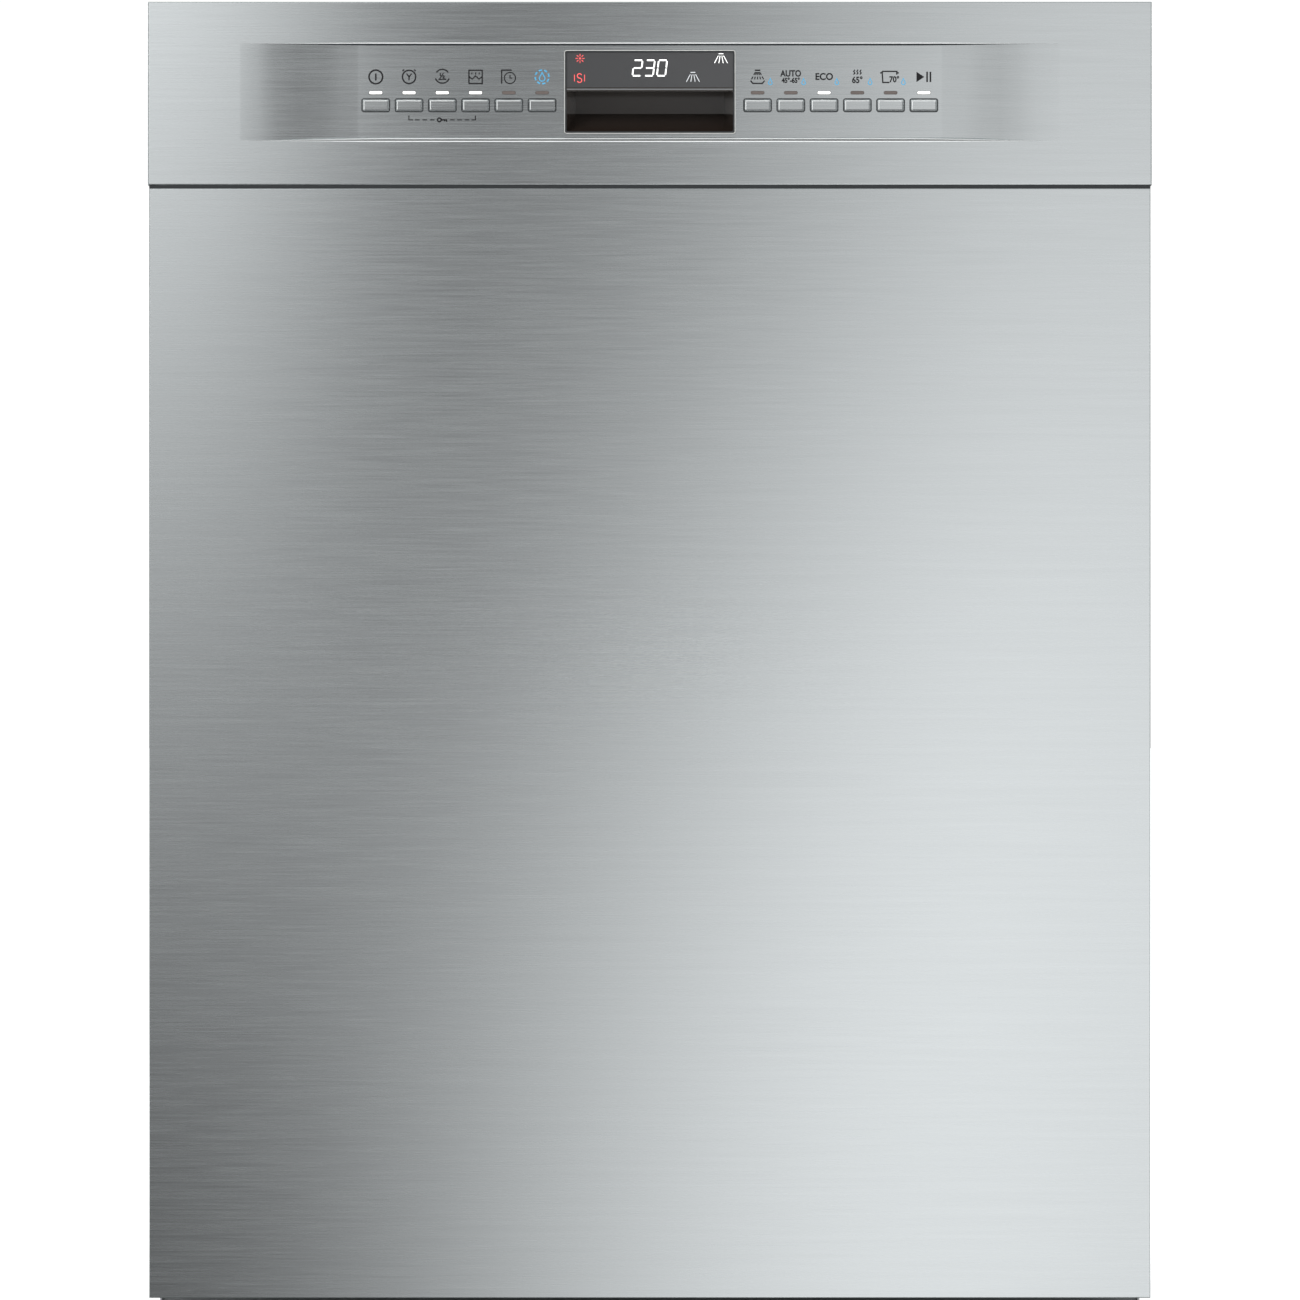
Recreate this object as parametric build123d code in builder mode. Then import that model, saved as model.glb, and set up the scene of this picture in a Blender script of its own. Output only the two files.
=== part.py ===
from build123d import *
import os

# ---------------------------------------------------------------- driving dimensions (mm)
# Own frame: +Z up, floor at z = 0, the front faces -Y, x = 0 is the middle.
WIDTH = 598.0
DEPTH = 570.0
HEIGHT = 860.0
HALF = WIDTH / 2
FRONT = -DEPTH / 2
BACK = DEPTH / 2
SHEET = 1.2                      # folded steel sheet
JOINT = 0.05                     # hairline seam between sheets, bars or rods of one sub-part

# Door and control panel, seen from the front
PANEL_TOP = HEIGHT - 3.0
PANEL_HEIGHT = 109.3
PANEL_BOTTOM = PANEL_TOP - PANEL_HEIGHT
PANEL_GAP = 1.9
DOOR_TOP = PANEL_BOTTOM - PANEL_GAP
DOOR_HEIGHT = 661.0
DOOR_BOTTOM = DOOR_TOP - DOOR_HEIGHT
DOOR_HALF = 298.25
FOLD_Y = FRONT + 23.0            # back edge of the folded door skin
LINER_Y = FRONT + 50.0           # inner face of the door
LINER_TOP = PANEL_TOP - 2.0
HINGE_Y = FRONT + 30.0
HINGE_Z = 148.0

# Scooped recess of the control panel
SCOOP_TOP = PANEL_TOP - 25.0
SCOOP_BOTTOM = PANEL_TOP - 82.8
SCOOP_DEPTH = 1.8
SCOOP_FLAT = 174.0               # half width of the full-depth stretch
SCOOP_END = 244.0                # half width where the depth has run out
SCOOP_TOP_SLOPE = 0.7
SCOOP_BOTTOM_SLOPE = 2.0
SCOOP_Y = FRONT + SCOOP_DEPTH    # floor of the recess
PANEL_INSIDE = SCOOP_Y + 1.3     # back face of the panel's front wall

# Window and finger grip block in the middle of the recess
BLOCK_HALF = 51.15
BLOCK_TOP = PANEL_TOP - 28.6
BLOCK_BOTTOM = BLOCK_TOP - 50.1
BLOCK_RADIUS = 1.6
GLASS_BOTTOM = PANEL_TOP - 51.4
GRIP_TOP = PANEL_TOP - 52.9
GRIP_BACK = -256.0

# Buttons and indicator lights
BUTTON_WIDTH = 15.9
BUTTON_HEIGHT = 7.1
BUTTON_GAP = 0.9                 # between a key and its hole, both sides together
BUTTON_Z = PANEL_TOP - 61.6
BUTTON_FIRST = 64.2
BUTTON_PITCH = 19.82
BUTTONS_PER_SIDE = 6
LIGHT_WIDTH = 8.0
LIGHT_HEIGHT = 1.9
LIGHT_Z = PANEL_TOP - 54.1

# Tub
TUB_HALF = 279.0
TUB_BACK = 262.0
TUB_FLANGE = -228.0              # front face of the tub's flange
TUB_FLOOR = 171.0
TUB_TOP = 835.0
TUB_RADIUS = 26.0
PAN_HALF = 240.0
PAN_FRONT = -170.0
PAN_BACK = 240.0
PAN_FLOOR = 157.0
SIDE_X = HALF - 1.4              # inner face of a side panel

# Base
BASE_FRONT = -178.0
BASE_BACK = 250.0
BASE_BOTTOM = 24.0
BASE_WALL = 4.0
REAR_PANEL_BOTTOM = 176.0

# Water system
SUMP_X, SUMP_Y, SUMP_RADIUS = 30.0, 35.0, 86.0
ARM_X, ARM_Y = 0.0, 10.0
FILTER_X, FILTER_Y, FILTER_RADIUS = 60.0, 60.0, 34.0
SALT_X, SALT_Y = -170.0, 120.0
INLET_X, INLET_Z = 200.0, 90.0
DRAIN_X, DRAIN_Z = 30.0, 62.0
GLAND_X, GLAND_Z = -205.0, 95.0

# Racks
WIRE = 2.0
RIM = 2.5
WIRE_GAP = 0.1                   # crossing wires stay separate solids
CORNER = 16.0                    # bend radius of a rack's rings
LOWER_HALF = 256.0
LOWER_FRONT, LOWER_BACK = -205.0, 225.0
LOWER_FLOOR, LOWER_RIM = 222.0, 322.0
UPPER_HALF = 262.0
UPPER_FRONT, UPPER_BACK = -212.0, 225.0
UPPER_FLOOR, UPPER_RIM = 520.0, 620.0
WHEEL_RADIUS = 18.0
WHEEL_Z = TUB_FLOOR + SHEET + 0.3 + WHEEL_RADIUS
WHEEL_INNER, WHEEL_OUTER = 243.0, 251.0
WHEEL_FRONT, WHEEL_BACK = -120.0, 160.0
RAIL_BOTTOM, RAIL_TOP = 560.0, 590.0
RAIL_FRONT, RAIL_BACK = -215.0, 235.0
SHELF_X, SHELF_Z = -256.0, 640.0

os.makedirs("parts", exist_ok=True)


def finish(piece, name):
    """Label a finished piece and write its file."""
    piece.part.label = name
    export_step(piece.part, f"parts/{name}.step")


def slab(x, y, z, mode=Mode.ADD):
    """A block between two x, two y and two z values."""
    with Locations(((x[0] + x[1]) / 2, (y[0] + y[1]) / 2, (z[0] + z[1]) / 2)):
        Box(abs(x[1] - x[0]), abs(y[1] - y[0]), abs(z[1] - z[0]), mode=mode)


def upright(y):
    """Front-view sketch plane at this y: sketch x is +X and sketch y is +Z."""
    return Plane.XZ.offset(-y)


def plate(x, y, z, radius, mode=Mode.ADD):
    """A front-view plate with rounded corners between two y values."""
    with BuildSketch(upright(y[0])) as outline:
        with Locations(((x[0] + x[1]) / 2, (z[0] + z[1]) / 2)):
            RectangleRounded(x[1] - x[0], z[1] - z[0], radius)
    extrude(outline.sketch, amount=-(y[1] - y[0]), mode=mode)


def post(x, y, z, radius, mode=Mode.ADD):
    """An upright cylinder between two z values."""
    with BuildSketch(Plane.XY.offset(z[0])) as outline:
        with Locations((x, y)):
            Circle(radius)
    extrude(outline.sketch, amount=z[1] - z[0], mode=mode)


def spigot(x, y, z, radius, mode=Mode.ADD):
    """A cylinder along Y between two y values."""
    with BuildSketch(upright(y[0])) as outline:
        with Locations((x, z)):
            Circle(radius)
    extrude(outline.sketch, amount=-(y[1] - y[0]), mode=mode)


def axle(x, y, z, radius, mode=Mode.ADD):
    """A cylinder along X between two x values."""
    with BuildSketch(Plane.YZ.offset(x[0])) as outline:
        with Locations((y, z)):
            Circle(radius)
    extrude(outline.sketch, amount=x[1] - x[0], mode=mode)


# ---------------------------------------------------------------- base and casing
BASE_INNER_X = SIDE_X - BASE_WALL
BASE_WALL_Z = (BASE_BOTTOM + BASE_WALL + JOINT, TUB_FLOOR)
BASE_BACK_WALL = (BASE_BACK - BASE_WALL, BASE_BACK)
PORTS = ((GLAND_X, GLAND_Z, 10.0), (DRAIN_X, DRAIN_Z, 11.0), (INLET_X, INLET_Z, 17.0))

with BuildPart() as base_tray:
    slab((-SIDE_X, SIDE_X), (BASE_FRONT, BASE_BACK), (BASE_BOTTOM, BASE_BOTTOM + BASE_WALL))
    slab((-BASE_INNER_X, BASE_INNER_X), (BASE_FRONT, BASE_FRONT + BASE_WALL), BASE_WALL_Z)
    for side in (-1, 1):
        slab((side * (BASE_INNER_X + JOINT), side * SIDE_X), (BASE_FRONT, BASE_BACK), BASE_WALL_Z)
        slab((side * (PAN_HALF + 14), side * BASE_INNER_X),
             (BASE_FRONT + BASE_WALL + JOINT, BASE_BACK - BASE_WALL - JOINT),
             (TUB_FLOOR - BASE_WALL, TUB_FLOOR))
    wall_start = -BASE_INNER_X
    for port_x, port_z, port_half in PORTS:
        port_sides = (port_x - port_half, port_x + port_half)
        slab((wall_start, port_sides[0] - JOINT), BASE_BACK_WALL, BASE_WALL_Z)
        slab(port_sides, BASE_BACK_WALL, (BASE_WALL_Z[0], port_z - port_half))
        slab(port_sides, BASE_BACK_WALL, (port_z + port_half, BASE_WALL_Z[1]))
        wall_start = port_sides[1] + JOINT
    slab((wall_start, BASE_INNER_X), BASE_BACK_WALL, BASE_WALL_Z)
    with BuildSketch(Plane.XY.offset(BASE_BOTTOM)):
        with Locations((0, 35)):
            with GridLocations(540, 370, 2, 2):
                Circle(6.0)
    extrude(amount=BASE_WALL, mode=Mode.SUBTRACT)
finish(base_tray, "base_tray")

with BuildPart() as levelling_feet:
    for foot_x in (-270, 270):
        for foot_y in (-150, 220):
            post(foot_x, foot_y, (0, 7), 20.0)
            post(foot_x, foot_y, (7, BASE_BOTTOM), 9.0)
            post(foot_x, foot_y, (BASE_BOTTOM, 50), 5.0)
    pad_rims = levelling_feet.edges().filter_by(GeomType.CIRCLE).filter_by(lambda e: e.radius > 19)
    fillet(pad_rims.group_by(Axis.Z)[-1], 2.0)
finish(levelling_feet, "levelling_feet")

with BuildPart() as plinth:
    slab((-HALF + 2, HALF - 2), (-236, -234.4), (12, 74))
    slab((-HALF + 2, HALF - 2), (-234.4 + JOINT, -222), (72.4, 74))
    for side in (-1, 1):
        slab((side * 285, side * 287), (-234.4 + JOINT, BASE_FRONT), (30, 70))
finish(plinth, "plinth")


def side_panel(side):
    """A side sheet that is cut back at the bottom where the door swings."""
    with BuildPart() as sheet:
        with BuildSketch(Plane.YZ.offset(side * SIDE_X)):
            with BuildLine():
                Polyline((BASE_FRONT - 2, 60), (BACK - 1, 60), (BACK - 1, HEIGHT - SHEET),
                         (TUB_FLANGE, HEIGHT - SHEET), (TUB_FLANGE, TUB_FLOOR + 7),
                         (BASE_FRONT - 2, TUB_FLOOR + 7), close=True)
            make_face()
        extrude(amount=side * SHEET)
        outer_corners = sheet.edges().filter_by(Axis.X).group_by(Axis.Z)[0]
        fillet(outer_corners, 4.0)
    return sheet


finish(side_panel(-1), "side_panel_left")
finish(side_panel(1), "side_panel_right")

with BuildPart() as top_cover:
    slab((-SIDE_X - SHEET, SIDE_X + SHEET), (TUB_FLANGE, BACK), (HEIGHT - SHEET, HEIGHT))
    with Locations((0, -212, HEIGHT)):
        with GridLocations(500, 1, 2, 1):
            Hole(2.25)
finish(top_cover, "top_cover")

with BuildPart() as rear_panel:
    slab((-SIDE_X - SHEET, SIDE_X + SHEET), (BACK - 1, BACK), (REAR_PANEL_BOTTOM, HEIGHT - SHEET))
    for rib_z in (300, 440, 580, 720):
        slab((-230, 230), (BACK - 4, BACK - 1 - JOINT), (rib_z, rib_z + 14))
finish(rear_panel, "rear_panel")

# ---------------------------------------------------------------- tub
TUB_IN = TUB_HALF - SHEET
TUB_IN_TOP = TUB_TOP - SHEET
TUB_IN_FLOOR = TUB_FLOOR + SHEET
PAN_IN_FLOOR = PAN_FLOOR + SHEET

TUB_SIDE_Z = (TUB_FLOOR + TUB_RADIUS + JOINT, TUB_TOP - TUB_RADIUS - JOINT)
TUB_FLAT_X = TUB_HALF - TUB_RADIUS - JOINT
TUB_RUN = (TUB_FLANGE, TUB_BACK - SHEET - JOINT)
SEAM_ANGLE = 0.1                 # degrees left free at each end of a corner strip
FLANGE_Y = (TUB_FLANGE, TUB_FLANGE + SHEET)
FLANGE_BOTTOM = TUB_FLOOR + 7
FLANGE_TOP = HEIGHT - SHEET


def corner_strip(centre_x, centre_z, start):
    """An eighth of a turn of the tub's rounded corner, along the tub's depth."""
    with BuildSketch(upright(TUB_RUN[0])) as section:
        with BuildLine():
            outer = CenterArc((centre_x, centre_z), TUB_RADIUS, start + SEAM_ANGLE, 45 - 2 * SEAM_ANGLE)
            inner = CenterArc((centre_x, centre_z), TUB_RADIUS - SHEET, start + SEAM_ANGLE,
                              45 - 2 * SEAM_ANGLE)
            Line(outer @ 0, inner @ 0)
            Line(outer @ 1, inner @ 1)
        make_face()
    extrude(section.sketch, amount=-(TUB_RUN[1] - TUB_RUN[0]))


with BuildPart() as tub:
    slab((-TUB_FLAT_X, TUB_FLAT_X), TUB_RUN, (TUB_IN_TOP, TUB_TOP))
    plate((-TUB_HALF, TUB_HALF), (TUB_BACK - SHEET, TUB_BACK), (TUB_FLOOR, TUB_TOP), TUB_RADIUS)
    for side in (-1, 1):
        slab((side * TUB_IN, side * TUB_HALF), TUB_RUN, TUB_SIDE_Z)
        slab((side * PAN_HALF, side * TUB_FLAT_X), TUB_RUN, (TUB_FLOOR, TUB_IN_FLOOR))
        slab((side * (PAN_HALF - SHEET), side * (PAN_HALF - JOINT)), (PAN_FRONT, PAN_BACK),
             (PAN_IN_FLOOR + JOINT, TUB_IN_FLOOR))
        slab((side * (TUB_HALF + JOINT), side * SIDE_X), FLANGE_Y, (FLANGE_BOTTOM, FLANGE_TOP))
    slab((-TUB_HALF, TUB_HALF), FLANGE_Y, (TUB_TOP + JOINT, FLANGE_TOP))
    floor_x = PAN_HALF - JOINT
    slab((-floor_x, floor_x), (TUB_FLANGE, PAN_FRONT - JOINT), (TUB_FLOOR, TUB_IN_FLOOR))
    slab((-floor_x, floor_x), (PAN_BACK + JOINT, TUB_RUN[1]), (TUB_FLOOR, TUB_IN_FLOOR))
    inner_x = PAN_HALF - SHEET - JOINT
    slab((-inner_x, inner_x), (PAN_FRONT, PAN_FRONT + SHEET), (PAN_IN_FLOOR + JOINT, TUB_IN_FLOOR))
    slab((-inner_x, inner_x), (PAN_BACK - SHEET, PAN_BACK), (PAN_IN_FLOOR + JOINT, TUB_IN_FLOOR))
    slab((-PAN_HALF, PAN_HALF), (PAN_FRONT, PAN_BACK), (PAN_FLOOR, PAN_IN_FLOOR))
    post(SUMP_X, SUMP_Y, (PAN_FLOOR - 1, PAN_IN_FLOOR + 1), SUMP_RADIUS + 1, mode=Mode.SUBTRACT)
    post(SALT_X, SALT_Y, (PAN_FLOOR - 1, PAN_IN_FLOOR + 1), 27.0, mode=Mode.SUBTRACT)
    for hole_x, hole_y in ((SALT_X, SALT_Y), (SUMP_X, SUMP_Y)):
        slab((hole_x, hole_x + JOINT), (PAN_FRONT, PAN_BACK), (PAN_FLOOR, PAN_IN_FLOOR), mode=Mode.SUBTRACT)
        slab((-PAN_HALF, PAN_HALF), (hole_y, hole_y + JOINT), (PAN_FLOOR, PAN_IN_FLOOR), mode=Mode.SUBTRACT)
    corner_x = TUB_HALF - TUB_RADIUS
    corner_zs = (TUB_TOP - TUB_RADIUS, TUB_FLOOR + TUB_RADIUS)
    for quarter, (side, corner_z) in enumerate(((1, corner_zs[0]), (-1, corner_zs[0]),
                                                (-1, corner_zs[1]), (1, corner_zs[1]))):
        for start in (90 * quarter, 90 * quarter + 45):
            corner_strip(side * corner_x, corner_z, start)
    with BuildSketch(upright(TUB_FLANGE)) as spandrels:
        for side in (-1, 1):
            with Locations((side * (TUB_HALF - JOINT - TUB_RADIUS / 2), corner_zs[0] + TUB_RADIUS / 2)):
                Rectangle(TUB_RADIUS, TUB_RADIUS)
        with Locations((corner_x, corner_zs[0]), (-corner_x, corner_zs[0])):
            Circle(TUB_RADIUS + JOINT, mode=Mode.SUBTRACT)
    extrude(spandrels.sketch, amount=-SHEET)
finish(tub, "tub")

with BuildPart() as door_seal:
    with BuildSketch(upright(TUB_FLANGE)):
        with BuildLine():
            Polyline((-287, 182), (-287, 843), (287, 843), (287, 182), (280.5, 182), (280.5, 836.5),
                     (-280.5, 836.5), (-280.5, 182), close=True)
        make_face()
        fillet(vertices().group_by(Axis.Y)[-1], 14.0)
    extrude(amount=6.6)
finish(door_seal, "door_seal")

with BuildPart() as latch_striker:
    slab((-20, 20), (TUB_FLANGE - 1.5, TUB_FLANGE), (844.5, 857))
    slab((-6, 6), (-246, TUB_FLANGE - 1.5), (847, 850))
    slab((-6, 6), (-246, -243), (845.5, 847))
finish(latch_striker, "latch_striker")

with BuildPart() as hinge_brackets:
    for side in (-1, 1):
        slab((side * 262, side * 290), (BASE_FRONT - 3, BASE_FRONT), (118, 166))
        slab((side * 273, side * 277), (HINGE_Y, BASE_FRONT - 3 - JOINT), (HINGE_Z - 5, HINGE_Z + 5))
        axle((side * 273, side * 277), HINGE_Y, HINGE_Z, 9.0)
        axle((side * 266.6, side * 273), HINGE_Y, HINGE_Z, 5.0)
finish(hinge_brackets, "hinge_brackets")

SPRING_Z = 92.0
SPRING_RADIUS = 10.0
SPRING_FRONT = -140.0
SPRING_LENGTH = 170.0
SPRING_TURNS = 14

with BuildPart() as balance_springs:
    for side in (-1, 1):
        with BuildLine() as coil:
            Helix(SPRING_LENGTH / SPRING_TURNS, SPRING_LENGTH, SPRING_RADIUS,
                  center=(side * 266, SPRING_FRONT, SPRING_Z), direction=(0, 1, 0))
        with BuildSketch(Plane(origin=coil.line @ 0, z_dir=coil.line % 0)) as wire_section:
            Circle(1.5)
        sweep(wire_section.sketch, path=coil.line)
finish(balance_springs, "balance_springs")

# ---------------------------------------------------------------- water system
with BuildPart() as sump:
    with BuildSketch(Plane(origin=(SUMP_X, SUMP_Y, 0), x_dir=(1, 0, 0), z_dir=(0, -1, 0))):
        with BuildLine():
            Polyline((0, 95), (SUMP_RADIUS - 14, 95), (SUMP_RADIUS, 109), (SUMP_RADIUS, PAN_IN_FLOOR),
                     (SUMP_RADIUS + 10, PAN_IN_FLOOR), (SUMP_RADIUS + 10, PAN_IN_FLOOR + 1.8),
                     (SUMP_RADIUS - 2, PAN_IN_FLOOR + 1.8), (SUMP_RADIUS - 2, 110),
                     (SUMP_RADIUS - 15, 97), (0, 97), close=True)
        make_face()
    revolve(axis=Axis((SUMP_X, SUMP_Y, 0), (0, 0, 1)))
    post(ARM_X, ARM_Y, (96, 182), 14.0)
    post(ARM_X, ARM_Y, (99, 183), 11.0, mode=Mode.SUBTRACT)
finish(sump, "sump")

FILTER_TOP = PAN_IN_FLOOR + 1.8

with BuildPart() as filter_plate:
    post(SUMP_X, SUMP_Y, (FILTER_TOP, FILTER_TOP + 1.5), SUMP_RADIUS + 12)
    post(FILTER_X, FILTER_Y, (FILTER_TOP - 1, FILTER_TOP + 2), FILTER_RADIUS + 3, mode=Mode.SUBTRACT)
    post(ARM_X, ARM_Y, (FILTER_TOP - 1, FILTER_TOP + 2), 15.0, mode=Mode.SUBTRACT)
finish(filter_plate, "filter_plate")

with BuildPart() as coarse_filter:
    post(FILTER_X, FILTER_Y, (110, 170), FILTER_RADIUS)
    post(FILTER_X, FILTER_Y, (FILTER_TOP + 1.8, FILTER_TOP + 4), FILTER_RADIUS + 8)
    post(FILTER_X, FILTER_Y, (112, 171), FILTER_RADIUS - 2, mode=Mode.SUBTRACT)
    slab((FILTER_X - FILTER_RADIUS + 1, FILTER_X + FILTER_RADIUS - 1), (FILTER_Y - 2, FILTER_Y + 2),
         (158, 167))
finish(coarse_filter, "coarse_filter")

with BuildPart() as circulation_pump:
    axle((146, 236), SUMP_Y, 92, 40.0)
    axle((236, 250), SUMP_Y, 92, 28.0)
    axle((117, 146), SUMP_Y, 106, 19.0)
    slab((170, 220), (SUMP_Y - 20, SUMP_Y + 20), (BASE_BOTTOM + BASE_WALL, 60))
finish(circulation_pump, "circulation_pump")

with BuildPart() as drain_pump:
    spigot(DRAIN_X, (132, 205), DRAIN_Z, 26.0)
    spigot(DRAIN_X, (205, 281), DRAIN_Z, 10.0)
    with BuildSketch(upright(BASE_BACK + 8)) as barb:
        with Locations((DRAIN_X, DRAIN_Z)):
            Circle(10.9)
    extrude(barb.sketch, amount=-4)
    extrude(barb.sketch.moved(Location((0, 10, 0))), amount=-4)
    spigot(DRAIN_X, (210, 282), DRAIN_Z, 7.5, mode=Mode.SUBTRACT)
    slab((DRAIN_X - 12, DRAIN_X + 12), (150, 185), (BASE_BOTTOM + BASE_WALL, 45))
finish(drain_pump, "drain_pump")

SALT_CHAMBER = 18.0              # half width of the square salt chamber

with BuildPart() as softener:
    chamber_x = (SALT_X - SALT_CHAMBER, SALT_X + SALT_CHAMBER)
    chamber_y = (SALT_Y - SALT_CHAMBER, SALT_Y + SALT_CHAMBER)
    slab((-250, chamber_x[0] - JOINT), (60, 200), (40, 132))
    slab((chamber_x[1] + JOINT, -78), (60, 200), (40, 132))
    slab(chamber_x, (60, chamber_y[0] - JOINT), (40, 132))
    slab(chamber_x, (chamber_y[1] + JOINT, 200), (40, 132))
    slab(chamber_x, chamber_y, (40, 58))
    slab((-220, -108), (80, 180), (BASE_BOTTOM + BASE_WALL, 40 - JOINT))
    post(SALT_X, SALT_Y, (132 + JOINT, PAN_IN_FLOOR + 1.5), 26.0)
    post(SALT_X, SALT_Y, (132, PAN_IN_FLOOR + 3), 22.0, mode=Mode.SUBTRACT)
    with Locations((SALT_X, SALT_Y, 132 + JOINT + 20)):
        with PolarLocations(0, 4, angular_range=180):
            Box(60, JOINT, 40, mode=Mode.SUBTRACT)
finish(softener, "softener")

with BuildPart() as salt_cap:
    post(SALT_X, SALT_Y, (PAN_IN_FLOOR + 1.8, PAN_IN_FLOOR + 10), 31.0)
    post(SALT_X, SALT_Y, (146, PAN_IN_FLOOR + 2), 21.6)
    fillet(salt_cap.faces().sort_by(Axis.Z)[-1].edges(), 2.0)
    slab((SALT_X - 22, SALT_X + 22), (SALT_Y - 3, SALT_Y + 3), (PAN_IN_FLOOR + 10, PAN_IN_FLOOR + 14))
finish(salt_cap, "salt_cap")

with BuildPart() as inlet_valve:
    slab((INLET_X - 17, INLET_X + 17), (196, BASE_BACK - BASE_WALL), (INLET_Z - 17, INLET_Z + 17))
    spigot(INLET_X, (BASE_BACK - BASE_WALL, 280), INLET_Z, 13.2)
    spigot(INLET_X, (BASE_BACK, 281), INLET_Z, 7.0, mode=Mode.SUBTRACT)
    slab((INLET_X - 12, INLET_X + 12), (205, 240), (INLET_Z + 17, INLET_Z + 35))
finish(inlet_valve, "inlet_valve")

with BuildPart() as terminal_box:
    slab((GLAND_X - 25, GLAND_X + 25), (205, BASE_BACK - BASE_WALL), (GLAND_Z - 25, GLAND_Z + 25))
    spigot(GLAND_X, (BASE_BACK - BASE_WALL, 274), GLAND_Z, 9.0)
    spigot(GLAND_X, (BASE_BACK - 10, 275), GLAND_Z, 4.0, mode=Mode.SUBTRACT)
finish(terminal_box, "terminal_box")

PIPE_FRONT = 246.0
PIPE_TOP = TUB_IN_TOP

with BuildPart() as feed_pipe:
    slab((-18, 18), (PIPE_FRONT, TUB_BACK - SHEET), (TUB_IN_FLOOR, PIPE_TOP))
    slab((-18, 18), (ARM_Y + 18, PIPE_FRONT - JOINT), (PIPE_TOP - 14, PIPE_TOP))
    slab((-18, 18), (ARM_Y - 18, ARM_Y + 18 - JOINT), (PIPE_TOP - 14, PIPE_TOP))
    post(ARM_X, ARM_Y, (PIPE_TOP - 26, PIPE_TOP - 14 - JOINT), 34.0)
    spigot(0, (PIPE_FRONT - 6, PIPE_FRONT - JOINT), UPPER_FLOOR - 9, 12.0)
    with Locations((ARM_X, ARM_Y, PIPE_TOP - 26)):
        with PolarLocations(22, 8):
            Cylinder(2.5, 4, mode=Mode.SUBTRACT)
finish(feed_pipe, "feed_pipe")


def spray_arm(floor, reach):
    """A two-bladed spray arm with its hub, widest in the middle, with jets on top."""
    with BuildPart() as arm:
        with BuildSketch(Plane.XY.offset(floor)):
            with Locations((ARM_X, ARM_Y)):
                SlotOverall(2 * reach, 34)
                Circle(32)
        extrude(amount=10)
        fillet(arm.faces().sort_by(Axis.Z)[-1].edges(), 4.0)
        for step in range(1, 5):
            for side in (-1, 1):
                jet_x = ARM_X + side * reach * step / 4.6
                post(jet_x, ARM_Y + side * 7, (floor + 7, floor + 11), 2.5, mode=Mode.SUBTRACT)
    return arm


LOWER_ARM_Z = 180.0
lower_blades = spray_arm(LOWER_ARM_Z, 225.0)
with BuildPart() as lower_spray_arm:
    add(lower_blades.part)
    post(ARM_X, ARM_Y, (LOWER_ARM_Z - 12, LOWER_ARM_Z - JOINT), 19.0)
    post(ARM_X, ARM_Y, (LOWER_ARM_Z - 13, LOWER_ARM_Z + 4), 14.3, mode=Mode.SUBTRACT)
finish(lower_spray_arm, "lower_spray_arm")

UPPER_ARM_Z = UPPER_FLOOR - 34
upper_blades = spray_arm(UPPER_ARM_Z, 215.0)
with BuildPart() as upper_spray_arm:
    add(upper_blades.part)
    post(ARM_X, ARM_Y, (UPPER_ARM_Z + 6, UPPER_ARM_Z + 18), 16.0)
    post(ARM_X, ARM_Y, (UPPER_ARM_Z + 9, UPPER_ARM_Z + 19), 9.4, mode=Mode.SUBTRACT)
finish(upper_spray_arm, "upper_spray_arm")

# ---------------------------------------------------------------- racks


def spread(first, last, count):
    """Evenly spaced values from first to last."""
    return [first + (last - first) * step / (count - 1) for step in range(count)]


def rods_along_y(xs, y, z, radius):
    with Locations([(x, (y[0] + y[1]) / 2, z) for x in xs]):
        Cylinder(radius, y[1] - y[0], rotation=(90, 0, 0))


def rods_along_x(ys, x, z, radius):
    with Locations([((x[0] + x[1]) / 2, y, z) for y in ys]):
        Cylinder(radius, x[1] - x[0], rotation=(0, 90, 0))


def rods_up(points, z, radius):
    with Locations([(x, y, (z[0] + z[1]) / 2) for x, y in points]):
        Cylinder(radius, z[1] - z[0])


def wire_ring(half, y, z, radius):
    """A rectangular ring of wire: four straights and four rounded corners with hairline joints."""
    rods_along_x(y, (-half + CORNER + JOINT, half - CORNER - JOINT), z, radius)
    rods_along_y((-half, half), (y[0] + CORNER + JOINT, y[1] - CORNER - JOINT), z, radius)
    centre_x = half - CORNER
    centres = ((centre_x, y[1] - CORNER), (-centre_x, y[1] - CORNER),
               (-centre_x, y[0] + CORNER), (centre_x, y[0] + CORNER))
    for quarter, centre in enumerate(centres):
        with BuildLine(Plane.XY.offset(z)) as bend:
            CenterArc(centre, CORNER, 90 * quarter, 90)
        with BuildSketch(Plane(origin=bend.line @ 0, z_dir=bend.line % 0)) as section:
            Circle(radius)
        sweep(section.sketch, path=bend.line)


def wire_basket(half, y, floor, rim):
    """Floor wires in two layers, a ring at the floor and one at the rim, and uprights between them."""
    wire_ring(half, y, floor, RIM)
    wire_ring(half, y, rim, RIM)
    wire_ring(half - RIM - WIRE - WIRE_GAP, (y[0] + 4.6, y[1] - 4.6), (floor + rim) / 2, WIRE)
    inside = RIM + 4 * WIRE_GAP
    rods_along_y(spread(-half + 22, half - 22, 13), (y[0] + inside, y[1] - inside), floor, WIRE)
    second_layer = floor + 2 * WIRE + WIRE_GAP
    rods_along_x(spread(y[0] + 22, y[1] - 22, 11), (-half + 7, half - 7), second_layer, WIRE)
    between = (floor + RIM + WIRE_GAP, rim - RIM - WIRE_GAP)
    front_and_back = [(x, end) for x in spread(-half + 22, half - 22, 13) for end in y]
    sides = [(side * half, along) for along in spread(y[0] + 22, y[1] - 22, 11) for side in (-1, 1)]
    rods_up(front_and_back + sides, between, WIRE)


TINE = 1.8
TINE_FOOT = 3 * WIRE + 4 * WIRE_GAP

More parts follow.
